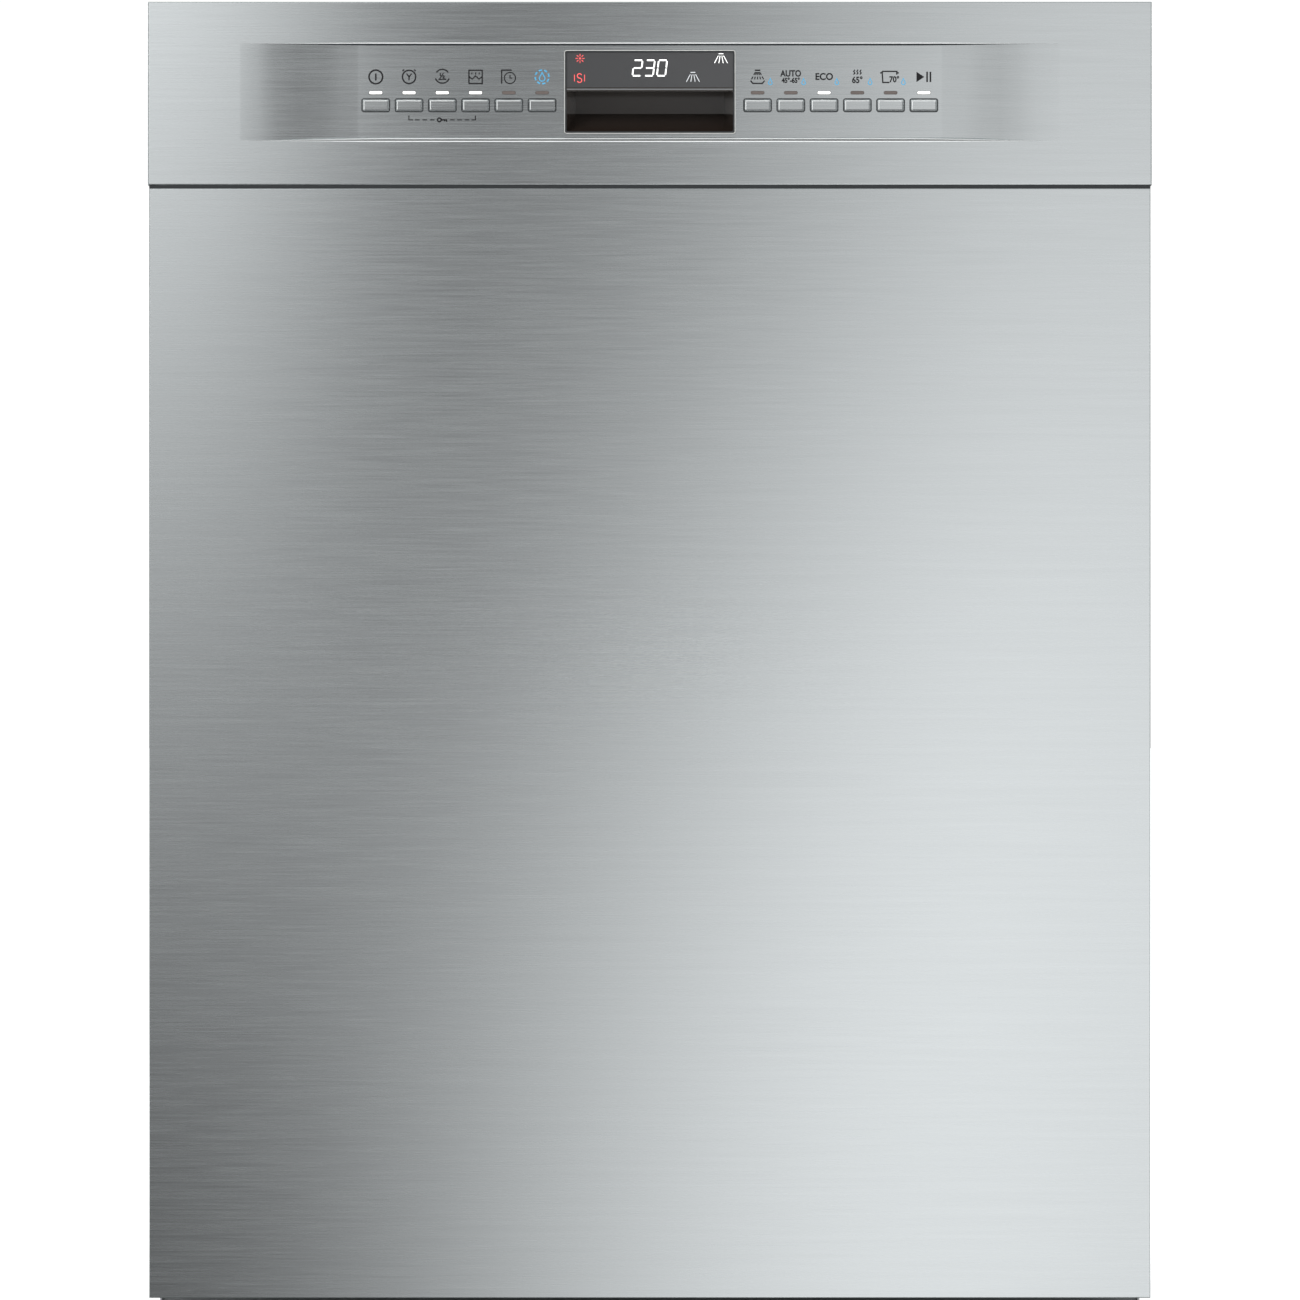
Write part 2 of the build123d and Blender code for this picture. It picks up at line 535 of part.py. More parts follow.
with BuildPart() as lower_rack:
    wire_basket(LOWER_HALF, (LOWER_FRONT, LOWER_BACK), LOWER_FLOOR, LOWER_RIM)
    plate_rows = [(x, y) for y in (-60, 20, 100, 180) for x in spread(-226, 18, 10)]
    bowl_rows = [(x, y) for y in (-60, 35, 130) for x in spread(60, 225, 6)]
    rods_up(plate_rows + bowl_rows, (LOWER_FLOOR + TINE_FOOT, LOWER_FLOOR + 82), TINE)
    for side in (-1, 1):
        for wheel_y in (WHEEL_FRONT, WHEEL_BACK):
            slab((side * (WHEEL_OUTER + 1.2), side * (WHEEL_OUTER + 4.2)), (wheel_y - 9, wheel_y + 9),
                 (WHEEL_Z - 8, LOWER_FLOOR - RIM - WIRE_GAP))
            axle((side * (WHEEL_INNER - 0.6), side * (WHEEL_OUTER + 2)), wheel_y, WHEEL_Z, 3.0)
            axle((side * (WHEEL_INNER - 2.6), side * (WHEEL_INNER - 0.6)), wheel_y, WHEEL_Z, 5.0)
finish(lower_rack, "lower_rack")


def rack_wheel(side, wheel_y):
    with BuildPart() as wheel:
        axle((side * WHEEL_INNER, side * WHEEL_OUTER), wheel_y, WHEEL_Z, WHEEL_RADIUS)
        chamfer(wheel.edges().filter_by(GeomType.CIRCLE), 1.0)
        for face_x, depth in ((WHEEL_INNER, 2.5), (WHEEL_OUTER, -2.5)):
            axle((side * face_x, side * (face_x + depth)), wheel_y, WHEEL_Z, 14.0, mode=Mode.SUBTRACT)
            axle((side * face_x, side * (face_x + depth)), wheel_y, WHEEL_Z, 6.0)
        axle((side * (WHEEL_INNER - 1), side * (WHEEL_OUTER + 1)), wheel_y, WHEEL_Z, 3.08,
             mode=Mode.SUBTRACT)
    return wheel


for side_name, side in (("left", -1), ("right", 1)):
    for end_name, wheel_y in (("front", WHEEL_FRONT), ("back", WHEEL_BACK)):
        finish(rack_wheel(side, wheel_y), f"rack_wheel_{end_name}_{side_name}")

BASKET_X = (45.0, 235.0)
BASKET_Y = (-192.0, -112.0)
BASKET_Z = (LOWER_FLOOR + 6.6, LOWER_FLOOR + 108)
CELL_X = 46.9                    # pitch of the compartments
CELL_WALL = 2.4
WINDOW_PITCH = 47.0

with BuildPart() as cutlery_basket:
    basket_middle = ((BASKET_X[0] + BASKET_X[1]) / 2, (BASKET_Y[0] + BASKET_Y[1]) / 2)
    wall_z = (BASKET_Z[0] + CELL_WALL + JOINT, BASKET_Z[1])
    slab(BASKET_X, BASKET_Y, (BASKET_Z[0], BASKET_Z[0] + CELL_WALL))
    long_walls = ((BASKET_Y[0], BASKET_Y[0] + CELL_WALL),
                  (basket_middle[1] - CELL_WALL / 2, basket_middle[1] + CELL_WALL / 2),
                  (BASKET_Y[1] - CELL_WALL, BASKET_Y[1]))
    for wall_y in long_walls:
        slab(BASKET_X, wall_y, wall_z)
    with BuildSketch(upright(BASKET_Y[0] - 1)) as windows:
        with Locations((basket_middle[0], (BASKET_Z[0] + BASKET_Z[1]) / 2)):
            with GridLocations(CELL_X, WINDOW_PITCH, 4, 2):
                RectangleRounded(32, 38, 5)
    extrude(windows.sketch, amount=-(BASKET_Y[1] - BASKET_Y[0] + 2), mode=Mode.SUBTRACT)
    dividers = [basket_middle[0] + CELL_X * step for step in (-1, 0, 1)]
    cross_walls = [(x - CELL_WALL / 2, x + CELL_WALL / 2) for x in dividers]
    cross_walls += [(BASKET_X[0], BASKET_X[0] + CELL_WALL), (BASKET_X[1] - CELL_WALL, BASKET_X[1])]
    for wall_x in cross_walls:
        for near, far in zip(long_walls, long_walls[1:]):
            slab(wall_x, (near[1] + JOINT, far[0] - JOINT), wall_z)
    handle_y = long_walls[1]
    handle_z = (BASKET_Z[1] + JOINT, BASKET_Z[1] + 30)
    slab((BASKET_X[0] + 2, BASKET_X[0] + 12), handle_y, handle_z)
    slab((BASKET_X[1] - 12, BASKET_X[1] - 2), handle_y, handle_z)
    slab((BASKET_X[0] + 2, BASKET_X[1] - 2), handle_y, (BASKET_Z[1] + 30 + JOINT, BASKET_Z[1] + 40))
finish(cutlery_basket, "cutlery_basket")

HANGER_X = (UPPER_HALF + WIRE + 0.1, 270.5)
LUG_YS = (-140.0, 90.0)

with BuildPart() as upper_rack:
    wire_basket(UPPER_HALF, (UPPER_FRONT, UPPER_BACK), UPPER_FLOOR, UPPER_RIM)
    glass_rows = [(x, y) for x in (-150, -70, 70, 150) for y in spread(-168, 180, 8)]
    rods_up(glass_rows, (UPPER_FLOOR + TINE_FOOT, UPPER_FLOOR + 58), TINE)
    for side in (-1, 1):
        slab((side * HANGER_X[0], side * HANGER_X[1]), (-190, 200), (RAIL_BOTTOM + 5, RAIL_TOP - 5))
    for lug_y in LUG_YS:
        slab((SHELF_X - 4, SHELF_X + 3), (lug_y - 4, lug_y + 4), (UPPER_RIM + RIM + WIRE_GAP, SHELF_Z + 5))
        spigot(SHELF_X, (lug_y - 5, lug_y + 5), SHELF_Z, 2.08, mode=Mode.SUBTRACT)
finish(upper_rack, "upper_rack")

with BuildPart() as cup_shelf:
    slab((SHELF_X + 8, SHELF_X + 90), (-148, 98), (SHELF_Z - 1.5, SHELF_Z + 1.5))
    fillet(cup_shelf.edges().filter_by(Axis.Z), 10.0)
    with Locations((SHELF_X + 49, -25, SHELF_Z)):
        with GridLocations(38, 24, 2, 10):
            Box(32, 18, 5, mode=Mode.SUBTRACT)
    spigot(SHELF_X, (-150, 100), SHELF_Z, 2.0)
    for knuckle_y in (-120, 70):
        slab((SHELF_X, SHELF_X + 9), (knuckle_y - 8, knuckle_y + 8), (SHELF_Z - 1.5, SHELF_Z + 1.5))
finish(cup_shelf, "cup_shelf")

DUCT_TOP = UPPER_FLOOR - RIM - WIRE_GAP

with BuildPart() as upper_manifold:
    slab((-12, 12), (ARM_Y - 12, PIPE_FRONT - 6.5), (DUCT_TOP - 10, DUCT_TOP))
    fillet(upper_manifold.edges().filter_by(Axis.Z), 8.0)
    spigot(0, (PIPE_FRONT - 14, PIPE_FRONT - 6.5), UPPER_FLOOR - 9, 10.0)
    slab((-12, 12), (PIPE_FRONT - 15, PIPE_FRONT - 6.4), (DUCT_TOP, DUCT_TOP + 12), mode=Mode.SUBTRACT)
    post(ARM_X, ARM_Y, (UPPER_ARM_Z + 10, DUCT_TOP - 9), 9.0)
finish(upper_manifold, "upper_manifold")

with BuildPart() as upper_rails:
    for side in (-1, 1):
        slab((side * 276.2, side * TUB_IN), (RAIL_FRONT, RAIL_BACK), (RAIL_BOTTOM, RAIL_TOP))
        lip_x = (side * 270, side * (276.2 - JOINT))
        slab(lip_x, (RAIL_FRONT, RAIL_BACK), (RAIL_BOTTOM, RAIL_BOTTOM + 1.5))
        slab(lip_x, (RAIL_FRONT, RAIL_BACK), (RAIL_TOP - 1.5, RAIL_TOP))
finish(upper_rails, "upper_rails")

with BuildPart() as upper_slides:
    for side in (-1, 1):
        slab((side * 271, side * 275.8), (RAIL_FRONT, RAIL_BACK), (RAIL_BOTTOM + 2, RAIL_TOP - 2))
finish(upper_slides, "upper_slides")

# ---------------------------------------------------------------- door
LINER_BOTTOM = 95.0
NOTCH_X = 266.0
PRESSED = 3.0                    # depth of the liner's pressed middle
PRESSED_Y = LINER_Y - PRESSED

with BuildPart() as door_outer_panel:
    slab((-DOOR_HALF, DOOR_HALF), (FRONT, FOLD_Y), (DOOR_BOTTOM, DOOR_TOP))
    fillet(door_outer_panel.faces().sort_by(Axis.Y)[0].edges(), 0.6)
    slab((-DOOR_HALF + SHEET, DOOR_HALF - SHEET), (FRONT + SHEET, FOLD_Y + 1),
         (DOOR_BOTTOM + SHEET, DOOR_TOP - SHEET), mode=Mode.SUBTRACT)
finish(door_outer_panel, "door_outer_panel")

DISPENSER_X = (-95.0, 95.0)
DISPENSER_Z = (440.0, 580.0)
SCREW_X = 292.0
SCREW_ZS = (200, 350, 500, 650, 800)

with BuildPart() as door_inner_liner:
    slab((-DOOR_HALF, DOOR_HALF), (FOLD_Y, LINER_Y), (LINER_BOTTOM, LINER_TOP))
    slab((-DOOR_HALF + SHEET, DOOR_HALF - SHEET), (FOLD_Y - 1, LINER_Y - SHEET),
         (LINER_BOTTOM + SHEET, LINER_TOP - SHEET), mode=Mode.SUBTRACT)
    plate((-263, 263), (PRESSED_Y - SHEET, LINER_Y), (176, 829), 13)
    plate((-262, 262), (PRESSED_Y, LINER_Y + 1), (177, 828), 12, mode=Mode.SUBTRACT)
    for side in (-1, 1):
        slab((side * NOTCH_X, side * HALF), (FOLD_Y - 1, LINER_Y + 1), (LINER_BOTTOM - 1, HINGE_Z + 18),
             mode=Mode.SUBTRACT)
        for screw_z in SCREW_ZS:
            spigot(side * SCREW_X, (LINER_Y - 5, LINER_Y + 1), screw_z, 2.1, mode=Mode.SUBTRACT)
    slab((DISPENSER_X[0] + 7, DISPENSER_X[1] - 7), (PRESSED_Y - 5, LINER_Y),
         (DISPENSER_Z[0] + 7, DISPENSER_Z[1] - 7), mode=Mode.SUBTRACT)
    slab((-9, 9), (LINER_Y - 5, LINER_Y + 1), (844.5, 853), mode=Mode.SUBTRACT)
finish(door_inner_liner, "door_inner_liner")

with BuildPart() as door_screws:
    for side in (-1, 1):
        for screw_z in SCREW_ZS:
            spigot(side * SCREW_X, (LINER_Y - 13, LINER_Y), screw_z, 1.9)
            spigot(side * SCREW_X, (LINER_Y, LINER_Y + 2), screw_z, 3.6)
            slab((side * SCREW_X - 2.4, side * SCREW_X + 2.4), (LINER_Y + 1, LINER_Y + 3),
                 (screw_z - 0.5, screw_z + 0.5), mode=Mode.SUBTRACT)
finish(door_screws, "door_screws")

with BuildPart() as hinge_arms:
    for side in (-1, 1):
        slab((side * 268, side * 272), (FRONT + SHEET, LINER_Y - 3), (110, 330))
        axle((side * 260, side * 280), HINGE_Y, HINGE_Z, 5.1, mode=Mode.SUBTRACT)
finish(hinge_arms, "hinge_arms")

with BuildPart() as door_lock:
    slab((-35, 35), (-258, LINER_Y - SHEET), (830, LINER_TOP - SHEET))
    slab((-8.5, 8.5), (-252, LINER_Y), (844.5, 853), mode=Mode.SUBTRACT)
finish(door_lock, "door_lock")

# The recess grows out of the flat panel along two smooth S-bends; its top and bottom steps slope.
with BuildPart() as scoop:
    with BuildSketch(Plane.XY.offset(SCOOP_BOTTOM)):
        with BuildLine():
            bend_x = (SCOOP_END + SCOOP_FLAT) / 2
            bend_y = (FRONT + SCOOP_Y) / 2
            left_start = TangentArc((-SCOOP_END, FRONT), (-bend_x, bend_y), tangent=(1, 0))
            left_end = TangentArc(left_start @ 1, (-SCOOP_FLAT, SCOOP_Y), tangent=left_start % 1)
            bottom = Line(left_end @ 1, (SCOOP_FLAT, SCOOP_Y))
            right_start = TangentArc(bottom @ 1, (bend_x, bend_y), tangent=(1, 0))
            right_end = TangentArc(right_start @ 1, (SCOOP_END, FRONT), tangent=right_start % 1)
            Polyline(right_end @ 1, (SCOOP_END, FRONT - 2), (-SCOOP_END, FRONT - 2), left_start @ 0)
        make_face()
    extrude(amount=SCOOP_TOP - SCOOP_BOTTOM)
    with BuildSketch(Plane.YZ.offset(-SCOOP_END - 1)):
        with BuildLine():
            Polyline((FRONT - 2, SCOOP_BOTTOM), (FRONT, SCOOP_BOTTOM),
                     (SCOOP_Y, SCOOP_BOTTOM + SCOOP_BOTTOM_SLOPE), (SCOOP_Y, SCOOP_TOP - SCOOP_TOP_SLOPE),
                     (FRONT, SCOOP_TOP), (FRONT - 2, SCOOP_TOP), close=True)
        make_face()
    extrude(amount=2 * SCOOP_END + 2, mode=Mode.INTERSECT)

button_offsets = [BUTTON_FIRST + BUTTON_PITCH * step for step in range(BUTTONS_PER_SIDE)]
button_xs = [-x for x in reversed(button_offsets)] + button_offsets
button_centres = [(x, BUTTON_Z) for x in button_xs]
light_centres = [(x, LIGHT_Z) for x in button_xs]

with BuildPart() as control_panel:
    slab((-HALF, HALF), (FRONT, FOLD_Y), (PANEL_BOTTOM, PANEL_TOP))
    fillet(control_panel.faces().sort_by(Axis.Y)[0].edges(), 0.8)
    slab((-HALF + SHEET, HALF - SHEET), (PANEL_INSIDE, FOLD_Y + 1),
         (PANEL_BOTTOM + SHEET, PANEL_TOP - SHEET), mode=Mode.SUBTRACT)
    add(scoop.part, mode=Mode.SUBTRACT)
    plate((-BLOCK_HALF, BLOCK_HALF), (FRONT - 1, PANEL_INSIDE + 1), (BLOCK_BOTTOM, BLOCK_TOP),
          BLOCK_RADIUS, mode=Mode.SUBTRACT)
    with BuildSketch(upright(FRONT - 1)) as openings:
        with Locations(button_centres):
            RectangleRounded(BUTTON_WIDTH + BUTTON_GAP, BUTTON_HEIGHT + BUTTON_GAP, 1.3)
        with Locations(light_centres):
            RectangleRounded(LIGHT_WIDTH + 0.2, LIGHT_HEIGHT + 0.2, 0.95)
    extrude(openings.sketch, amount=-(PANEL_INSIDE - FRONT + 2), mode=Mode.SUBTRACT)
finish(control_panel, "control_panel")

# Finger room: a slanted mouth under the glass that opens upwards behind it.
CUP_FRONT = SCOOP_Y - 0.5
GLASS_BACK = CUP_FRONT + 3.2

with BuildPart() as grip_space:
    with BuildSketch(Plane.YZ.offset(-BLOCK_HALF)):
        with BuildLine():
            Polyline((CUP_FRONT - 1, BLOCK_BOTTOM + 1), (CUP_FRONT, BLOCK_BOTTOM + 1),
                     (GRIP_BACK, BLOCK_BOTTOM + 14), (GRIP_BACK, BLOCK_TOP - 7),
                     (GLASS_BACK + 4, BLOCK_TOP - 7), (GLASS_BACK + 4, GRIP_TOP),
                     (CUP_FRONT - 1, GRIP_TOP), close=True)
        make_face()
    extrude(amount=2 * BLOCK_HALF)
    with BuildSketch(Plane.XY.offset(BLOCK_BOTTOM)):
        with BuildLine():
            Polyline((-BLOCK_HALF + 1, CUP_FRONT - 1), (BLOCK_HALF - 1, CUP_FRONT - 1), (44.5, GRIP_BACK),
                     (-44.5, GRIP_BACK), close=True)
        make_face()
    extrude(amount=BLOCK_TOP - BLOCK_BOTTOM, mode=Mode.INTERSECT)

GLASS_HALF = BLOCK_HALF - 1.2
GLASS_Z = (GLASS_BOTTOM + 0.5, BLOCK_TOP - 1.1)

with BuildPart() as handle_cup:
    plate((-BLOCK_HALF + 0.15, BLOCK_HALF - 0.15), (CUP_FRONT, -248),
          (BLOCK_BOTTOM + 0.15, BLOCK_TOP - 0.15), BLOCK_RADIUS - 0.1)
    add(grip_space.part, mode=Mode.SUBTRACT)
    plate((-GLASS_HALF - 0.15, GLASS_HALF + 0.15), (CUP_FRONT - 1, GLASS_BACK),
          (GLASS_Z[0] - 0.15, GLASS_Z[1] + 0.15), 1.1, mode=Mode.SUBTRACT)
finish(handle_cup, "handle_cup")

with BuildPart() as display_window:
    plate((-GLASS_HALF, GLASS_HALF), (CUP_FRONT + 0.2, GLASS_BACK), GLASS_Z, 1.0)
finish(display_window, "display_window")

BUTTON_FACE = SCOOP_Y - 0.8


def push_button(x):
    """A bevelled key cap with a retaining flange behind the panel and a stem for its switch."""
    with BuildPart() as button:
        plate((x - BUTTON_WIDTH / 2, x + BUTTON_WIDTH / 2), (BUTTON_FACE, PANEL_INSIDE + 1),
              (BUTTON_Z - BUTTON_HEIGHT / 2, BUTTON_Z + BUTTON_HEIGHT / 2), 1.0)
        chamfer(button.faces().sort_by(Axis.Y)[0].edges(), 0.7)
        slab((x - 9.2, x + 9.2), (PANEL_INSIDE + 0.2, PANEL_INSIDE + 1.5), (BUTTON_Z - 4.8, BUTTON_Z + 4.8))
        slab((x - 3, x + 3), (PANEL_INSIDE + 1.5, PANEL_INSIDE + 8.7), (BUTTON_Z - 2, BUTTON_Z + 2))
    return button


BUTTON_NAMES = ("power", "timer", "half_load", "zone", "door", "extra",
                "spray", "auto", "eco", "daily", "pots", "start")
for button_name, button_x in zip(BUTTON_NAMES, button_xs):
    finish(push_button(button_x), f"button_{button_name}")

with BuildPart() as indicator_lights:
    for light_x in button_xs:
        plate((light_x - LIGHT_WIDTH / 2, light_x + LIGHT_WIDTH / 2), (SCOOP_Y - 0.2, PANEL_INSIDE + 9),
              (LIGHT_Z - LIGHT_HEIGHT / 2, LIGHT_Z + LIGHT_HEIGHT / 2), 0.85)
        slab((light_x - 4.6, light_x + 4.6), (PANEL_INSIDE, PANEL_INSIDE + 1.2),
             (LIGHT_Z - 1.5, LIGHT_Z + 1.8))
finish(indicator_lights, "indicator_lights")

BOARD_Y = PANEL_INSIDE + 10.7

with BuildPart() as control_board:
    slab((-186, 186), (BOARD_Y, BOARD_Y + 1.6), (787, 847))
    slab((-53, 53), (BOARD_Y - 1, BOARD_Y + 2), (786, 831), mode=Mode.SUBTRACT)
    for post_x in (-180, -70, 70, 180):
        spigot(post_x, (PANEL_INSIDE, BOARD_Y), 841, 3.0)
    for chip_x, chip_half in ((-150, 14), (-95, 8), (100, 10), (150, 16)):
        slab((chip_x - chip_half, chip_x + chip_half), (BOARD_Y + 1.6, BOARD_Y + 8), (806, 828))
finish(control_board, "control_board")

# ---------------------------------------------------------------- dispenser
FACE_Y = PRESSED_Y + 2
LID_Z = (496.0, 570.0)
LID_X = (-82.0, 0.0)
CAP_X, CAP_Z = 50.0, 535.0

with BuildPart() as dispenser_body:
    plate(DISPENSER_X, (PRESSED_Y, FACE_Y), DISPENSER_Z, 8.0)
    slab((DISPENSER_X[0] + 8, DISPENSER_X[1] - 8), (-264, PRESSED_Y),
         (DISPENSER_Z[0] + 8, DISPENSER_Z[1] - 8))
    slab((LID_X[0] + 4, LID_X[1] - 4), (-262, FACE_Y + 1), (LID_Z[0] + 4, LID_Z[1] - 4), mode=Mode.SUBTRACT)
    spigot(CAP_X, (-252, FACE_Y + 1), CAP_Z, 14.0, mode=Mode.SUBTRACT)
    for guide_x, lip_x in (((LID_X[0] - 4, LID_X[0] - 0.4), (LID_X[0] - 4, LID_X[0] + 1.5)),
                           ((LID_X[1] + 0.4, LID_X[1] + 4), (LID_X[1] - 1.5, LID_X[1] + 4))):
        slab(guide_x, (FACE_Y, FACE_Y + 2.7), (DISPENSER_Z[0] + 4, DISPENSER_Z[1] - 4))
        slab(lip_x, (FACE_Y + 2.7, FACE_Y + 3.7), (DISPENSER_Z[0] + 4, DISPENSER_Z[1] - 4))
finish(dispenser_body, "dispenser_body")

with BuildPart() as dispenser_lid:
    slab(LID_X, (FACE_Y + 0.2, FACE_Y + 2.4), LID_Z)
    slab((LID_X[0] + 14, LID_X[1] - 14), (FACE_Y + 2.4, FACE_Y + 4.4), (LID_Z[1] - 12, LID_Z[1] - 8))
finish(dispenser_lid, "dispenser_lid")

with BuildPart() as rinse_aid_cap:
    spigot(CAP_X, (FACE_Y + 0.3, FACE_Y + 4.5), CAP_Z, 24.0)
    fillet(rinse_aid_cap.faces().sort_by(Axis.Y)[-1].edges(), 1.5)
    spigot(CAP_X, (-250, FACE_Y + 0.3), CAP_Z, 13.7)
    slab((CAP_X - 17, CAP_X + 17), (FACE_Y + 4.5, FACE_Y + 7), (CAP_Z - 2.5, CAP_Z + 2.5))
finish(rinse_aid_cap, "rinse_aid_cap")
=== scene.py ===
import math

import bmesh
import bpy
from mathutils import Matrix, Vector


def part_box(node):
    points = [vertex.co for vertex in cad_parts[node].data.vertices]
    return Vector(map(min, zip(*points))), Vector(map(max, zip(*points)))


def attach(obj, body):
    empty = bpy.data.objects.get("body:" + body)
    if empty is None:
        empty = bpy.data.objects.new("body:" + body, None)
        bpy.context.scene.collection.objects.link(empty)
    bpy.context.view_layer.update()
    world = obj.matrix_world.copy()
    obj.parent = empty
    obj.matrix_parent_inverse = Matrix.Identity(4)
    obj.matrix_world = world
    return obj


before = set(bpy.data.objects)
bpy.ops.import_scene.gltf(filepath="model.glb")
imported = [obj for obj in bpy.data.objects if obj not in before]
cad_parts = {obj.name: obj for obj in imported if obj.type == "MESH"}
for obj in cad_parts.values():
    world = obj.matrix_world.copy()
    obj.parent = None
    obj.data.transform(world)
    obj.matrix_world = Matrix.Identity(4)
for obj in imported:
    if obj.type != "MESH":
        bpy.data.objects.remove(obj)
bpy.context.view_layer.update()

# ---------------------------------------------------------------- places read from the frame (metres)
MM = 0.001
panel_low, panel_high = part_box("control_panel")
door_low, door_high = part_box("door_outer_panel")
cup_low, cup_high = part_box("handle_cup")
window_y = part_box("display_window")[0].y
key_face_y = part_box("button_spray")[0].y
FRONT = panel_low.y
PANEL_TOP = panel_high.z
RECESS_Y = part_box("indicator_lights")[0].y + 0.2 * MM   # floor of the scooped recess
KEY_NAMES = ("power", "timer", "half_load", "zone", "door", "extra",
             "spray", "auto", "eco", "daily", "pots", "start")
key_x = {}
for key_name in KEY_NAMES:
    low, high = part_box(f"button_{key_name}")
    key_x[key_name] = (low.x + high.x) / 2
ICON_Z = PANEL_TOP - 44.7 * MM
LIGHT_Z = PANEL_TOP - 54.1 * MM


# ---------------------------------------------------------------- material helpers
class Shader:
    """A node material under construction: one Principled shader and its textures."""

    def __init__(self, name, colour, roughness, **sockets):
        self.material = bpy.data.materials.new(name)
        self.material.use_nodes = True
        self.tree = self.material.node_tree
        self.shader = self.tree.nodes["Principled BSDF"]
        self.shader.inputs["Base Color"].default_value = (*colour, 1)
        self.shader.inputs["Roughness"].default_value = roughness
        for socket, value in sockets.items():
            self.shader.inputs[socket.replace("_", " ")].default_value = value
        self.coordinates = self.tree.nodes.new("ShaderNodeTexCoord")

    def link(self, source, target):
        self.tree.links.new(source, target)

    def noise(self, stretch, detail=4.0, scale=1.0, roughness=0.55):
        """Noise over the object's own coordinates, stretched per axis (cycles per metre)."""
        mapping = self.tree.nodes.new("ShaderNodeMapping")
        mapping.inputs["Scale"].default_value = stretch
        texture = self.tree.nodes.new("ShaderNodeTexNoise")
        texture.inputs["Scale"].default_value = scale
        texture.inputs["Detail"].default_value = detail
        texture.inputs["Roughness"].default_value = roughness
        self.link(self.coordinates.outputs["Object"], mapping.inputs["Vector"])
        self.link(mapping.outputs["Vector"], texture.inputs["Vector"])
        return texture.outputs["Fac"]

    def ramp(self, value, low, high, start=0.35, end=0.65):
        """Maps a value onto a range between two colours or two greys."""
        ramp = self.tree.nodes.new("ShaderNodeValToRGB")
        ramp.color_ramp.elements[0].position = start
        ramp.color_ramp.elements[1].position = end
        ramp.color_ramp.elements[0].color = (*low, 1) if isinstance(low, tuple) else (low, low, low, 1)
        ramp.color_ramp.elements[1].color = (*high, 1) if isinstance(high, tuple) else (high, high, high, 1)
        self.link(value, ramp.inputs["Fac"])
        return ramp.outputs["Color"]

    def mix(self, one, two, amount=0.5):
        """Mixes two colour outputs by a fixed amount."""
        mixer = self.tree.nodes.new("ShaderNodeMix")
        mixer.data_type = "RGBA"
        mixer.inputs["Factor"].default_value = amount
        self.link(one, mixer.inputs["A"])
        self.link(two, mixer.inputs["B"])
        return mixer.outputs["Result"]

    def bump(self, height, strength, distance):
        bump = self.tree.nodes.new("ShaderNodeBump")
        bump.inputs["Strength"].default_value = strength
        bump.inputs["Distance"].default_value = distance
        self.link(height, bump.inputs["Height"])
        self.link(bump.outputs["Normal"], self.shader.inputs["Normal"])

    def colour(self, source):
        self.link(source, self.shader.inputs["Base Color"])

    def gloss(self, source):
        self.link(source, self.shader.inputs["Roughness"])


def brushed(name, tint, roughness, across, anisotropy=0.7):
    """Brushed steel: fine streaks that change only across the grain, with broader tone bands."""
    fine = [22.0, 22.0, 22.0]
    broad = [7.0, 7.0, 7.0]
    axis = "XYZ".index(across)
    fine[axis] = 3000.0
    broad[axis] = 300.0
    steel = Shader(name, tint, roughness, Metallic=1.0, Anisotropic=anisotropy, Anisotropic_Rotation=0.25)
    tangent = steel.tree.nodes.new("ShaderNodeTangent")
    tangent.direction_type = "RADIAL"
    tangent.axis = "Z"
    steel.link(tangent.outputs["Tangent"], steel.shader.inputs["Tangent"])
    streaks = steel.noise(fine, detail=3.0)
    bands = steel.noise(broad, detail=5.0)
    dark = tuple(0.91 * c for c in tint)
    light = tuple(min(1.0, 1.06 * c) for c in tint)
    steel.colour(steel.mix(steel.ramp(streaks, dark, light, 0.25, 0.75),
                           steel.ramp(bands, dark, light, 0.2, 0.8), 0.35))
    steel.gloss(steel.ramp(streaks, roughness - 0.05, roughness + 0.07, 0.2, 0.8))
    steel.bump(streaks, 0.10, 0.00006)
    return steel.material


def satin_steel(name, tint, roughness):
    """Pressed stainless sheet with a faint mottled grain and smears."""
    steel = Shader(name, tint, roughness, Metallic=1.0)
    grain = steel.noise((420.0, 420.0, 60.0), detail=4.0)
    smears = steel.noise((5.0, 5.0, 7.0), detail=3.0)
    dark = tuple(0.94 * c for c in tint)
    light = tuple(min(1.0, 1.04 * c) for c in tint)
    steel.colour(steel.ramp(grain, dark, light, 0.2, 0.8))
    steel.gloss(steel.mix(steel.ramp(grain, roughness - 0.02, roughness + 0.03, 0.2, 0.8),
                          steel.ramp(smears, roughness - 0.03, roughness + 0.05, 0.2, 0.8), 0.5))
    steel.bump(grain, 0.015, 0.00005)
    return steel.material


def zinc_sheet(name):
    """Galvanised sheet: soft crystalline patches under a dull oxide skin."""
    zinc = Shader(name, (0.55, 0.57, 0.58), 0.5, Metallic=0.75)
    cells = zinc.tree.nodes.new("ShaderNodeTexVoronoi")
    cells.inputs["Scale"].default_value = 110.0
    zinc.link(zinc.coordinates.outputs["Object"], cells.inputs["Vector"])
    cloud = zinc.noise((22.0, 22.0, 22.0), detail=5.0)
    patches = zinc.ramp(cells.outputs["Color"], (0.51, 0.53, 0.54), (0.59, 0.61, 0.62), 0.1, 0.9)
    oxide = zinc.ramp(cloud, (0.52, 0.54, 0.55), (0.58, 0.60, 0.61))
    zinc.colour(zinc.mix(patches, oxide, 0.5))
    zinc.gloss(zinc.ramp(cells.outputs["Color"], 0.46, 0.56, 0.1, 0.9))
    zinc.bump(cloud, 0.05, 0.0002)
    return zinc.material


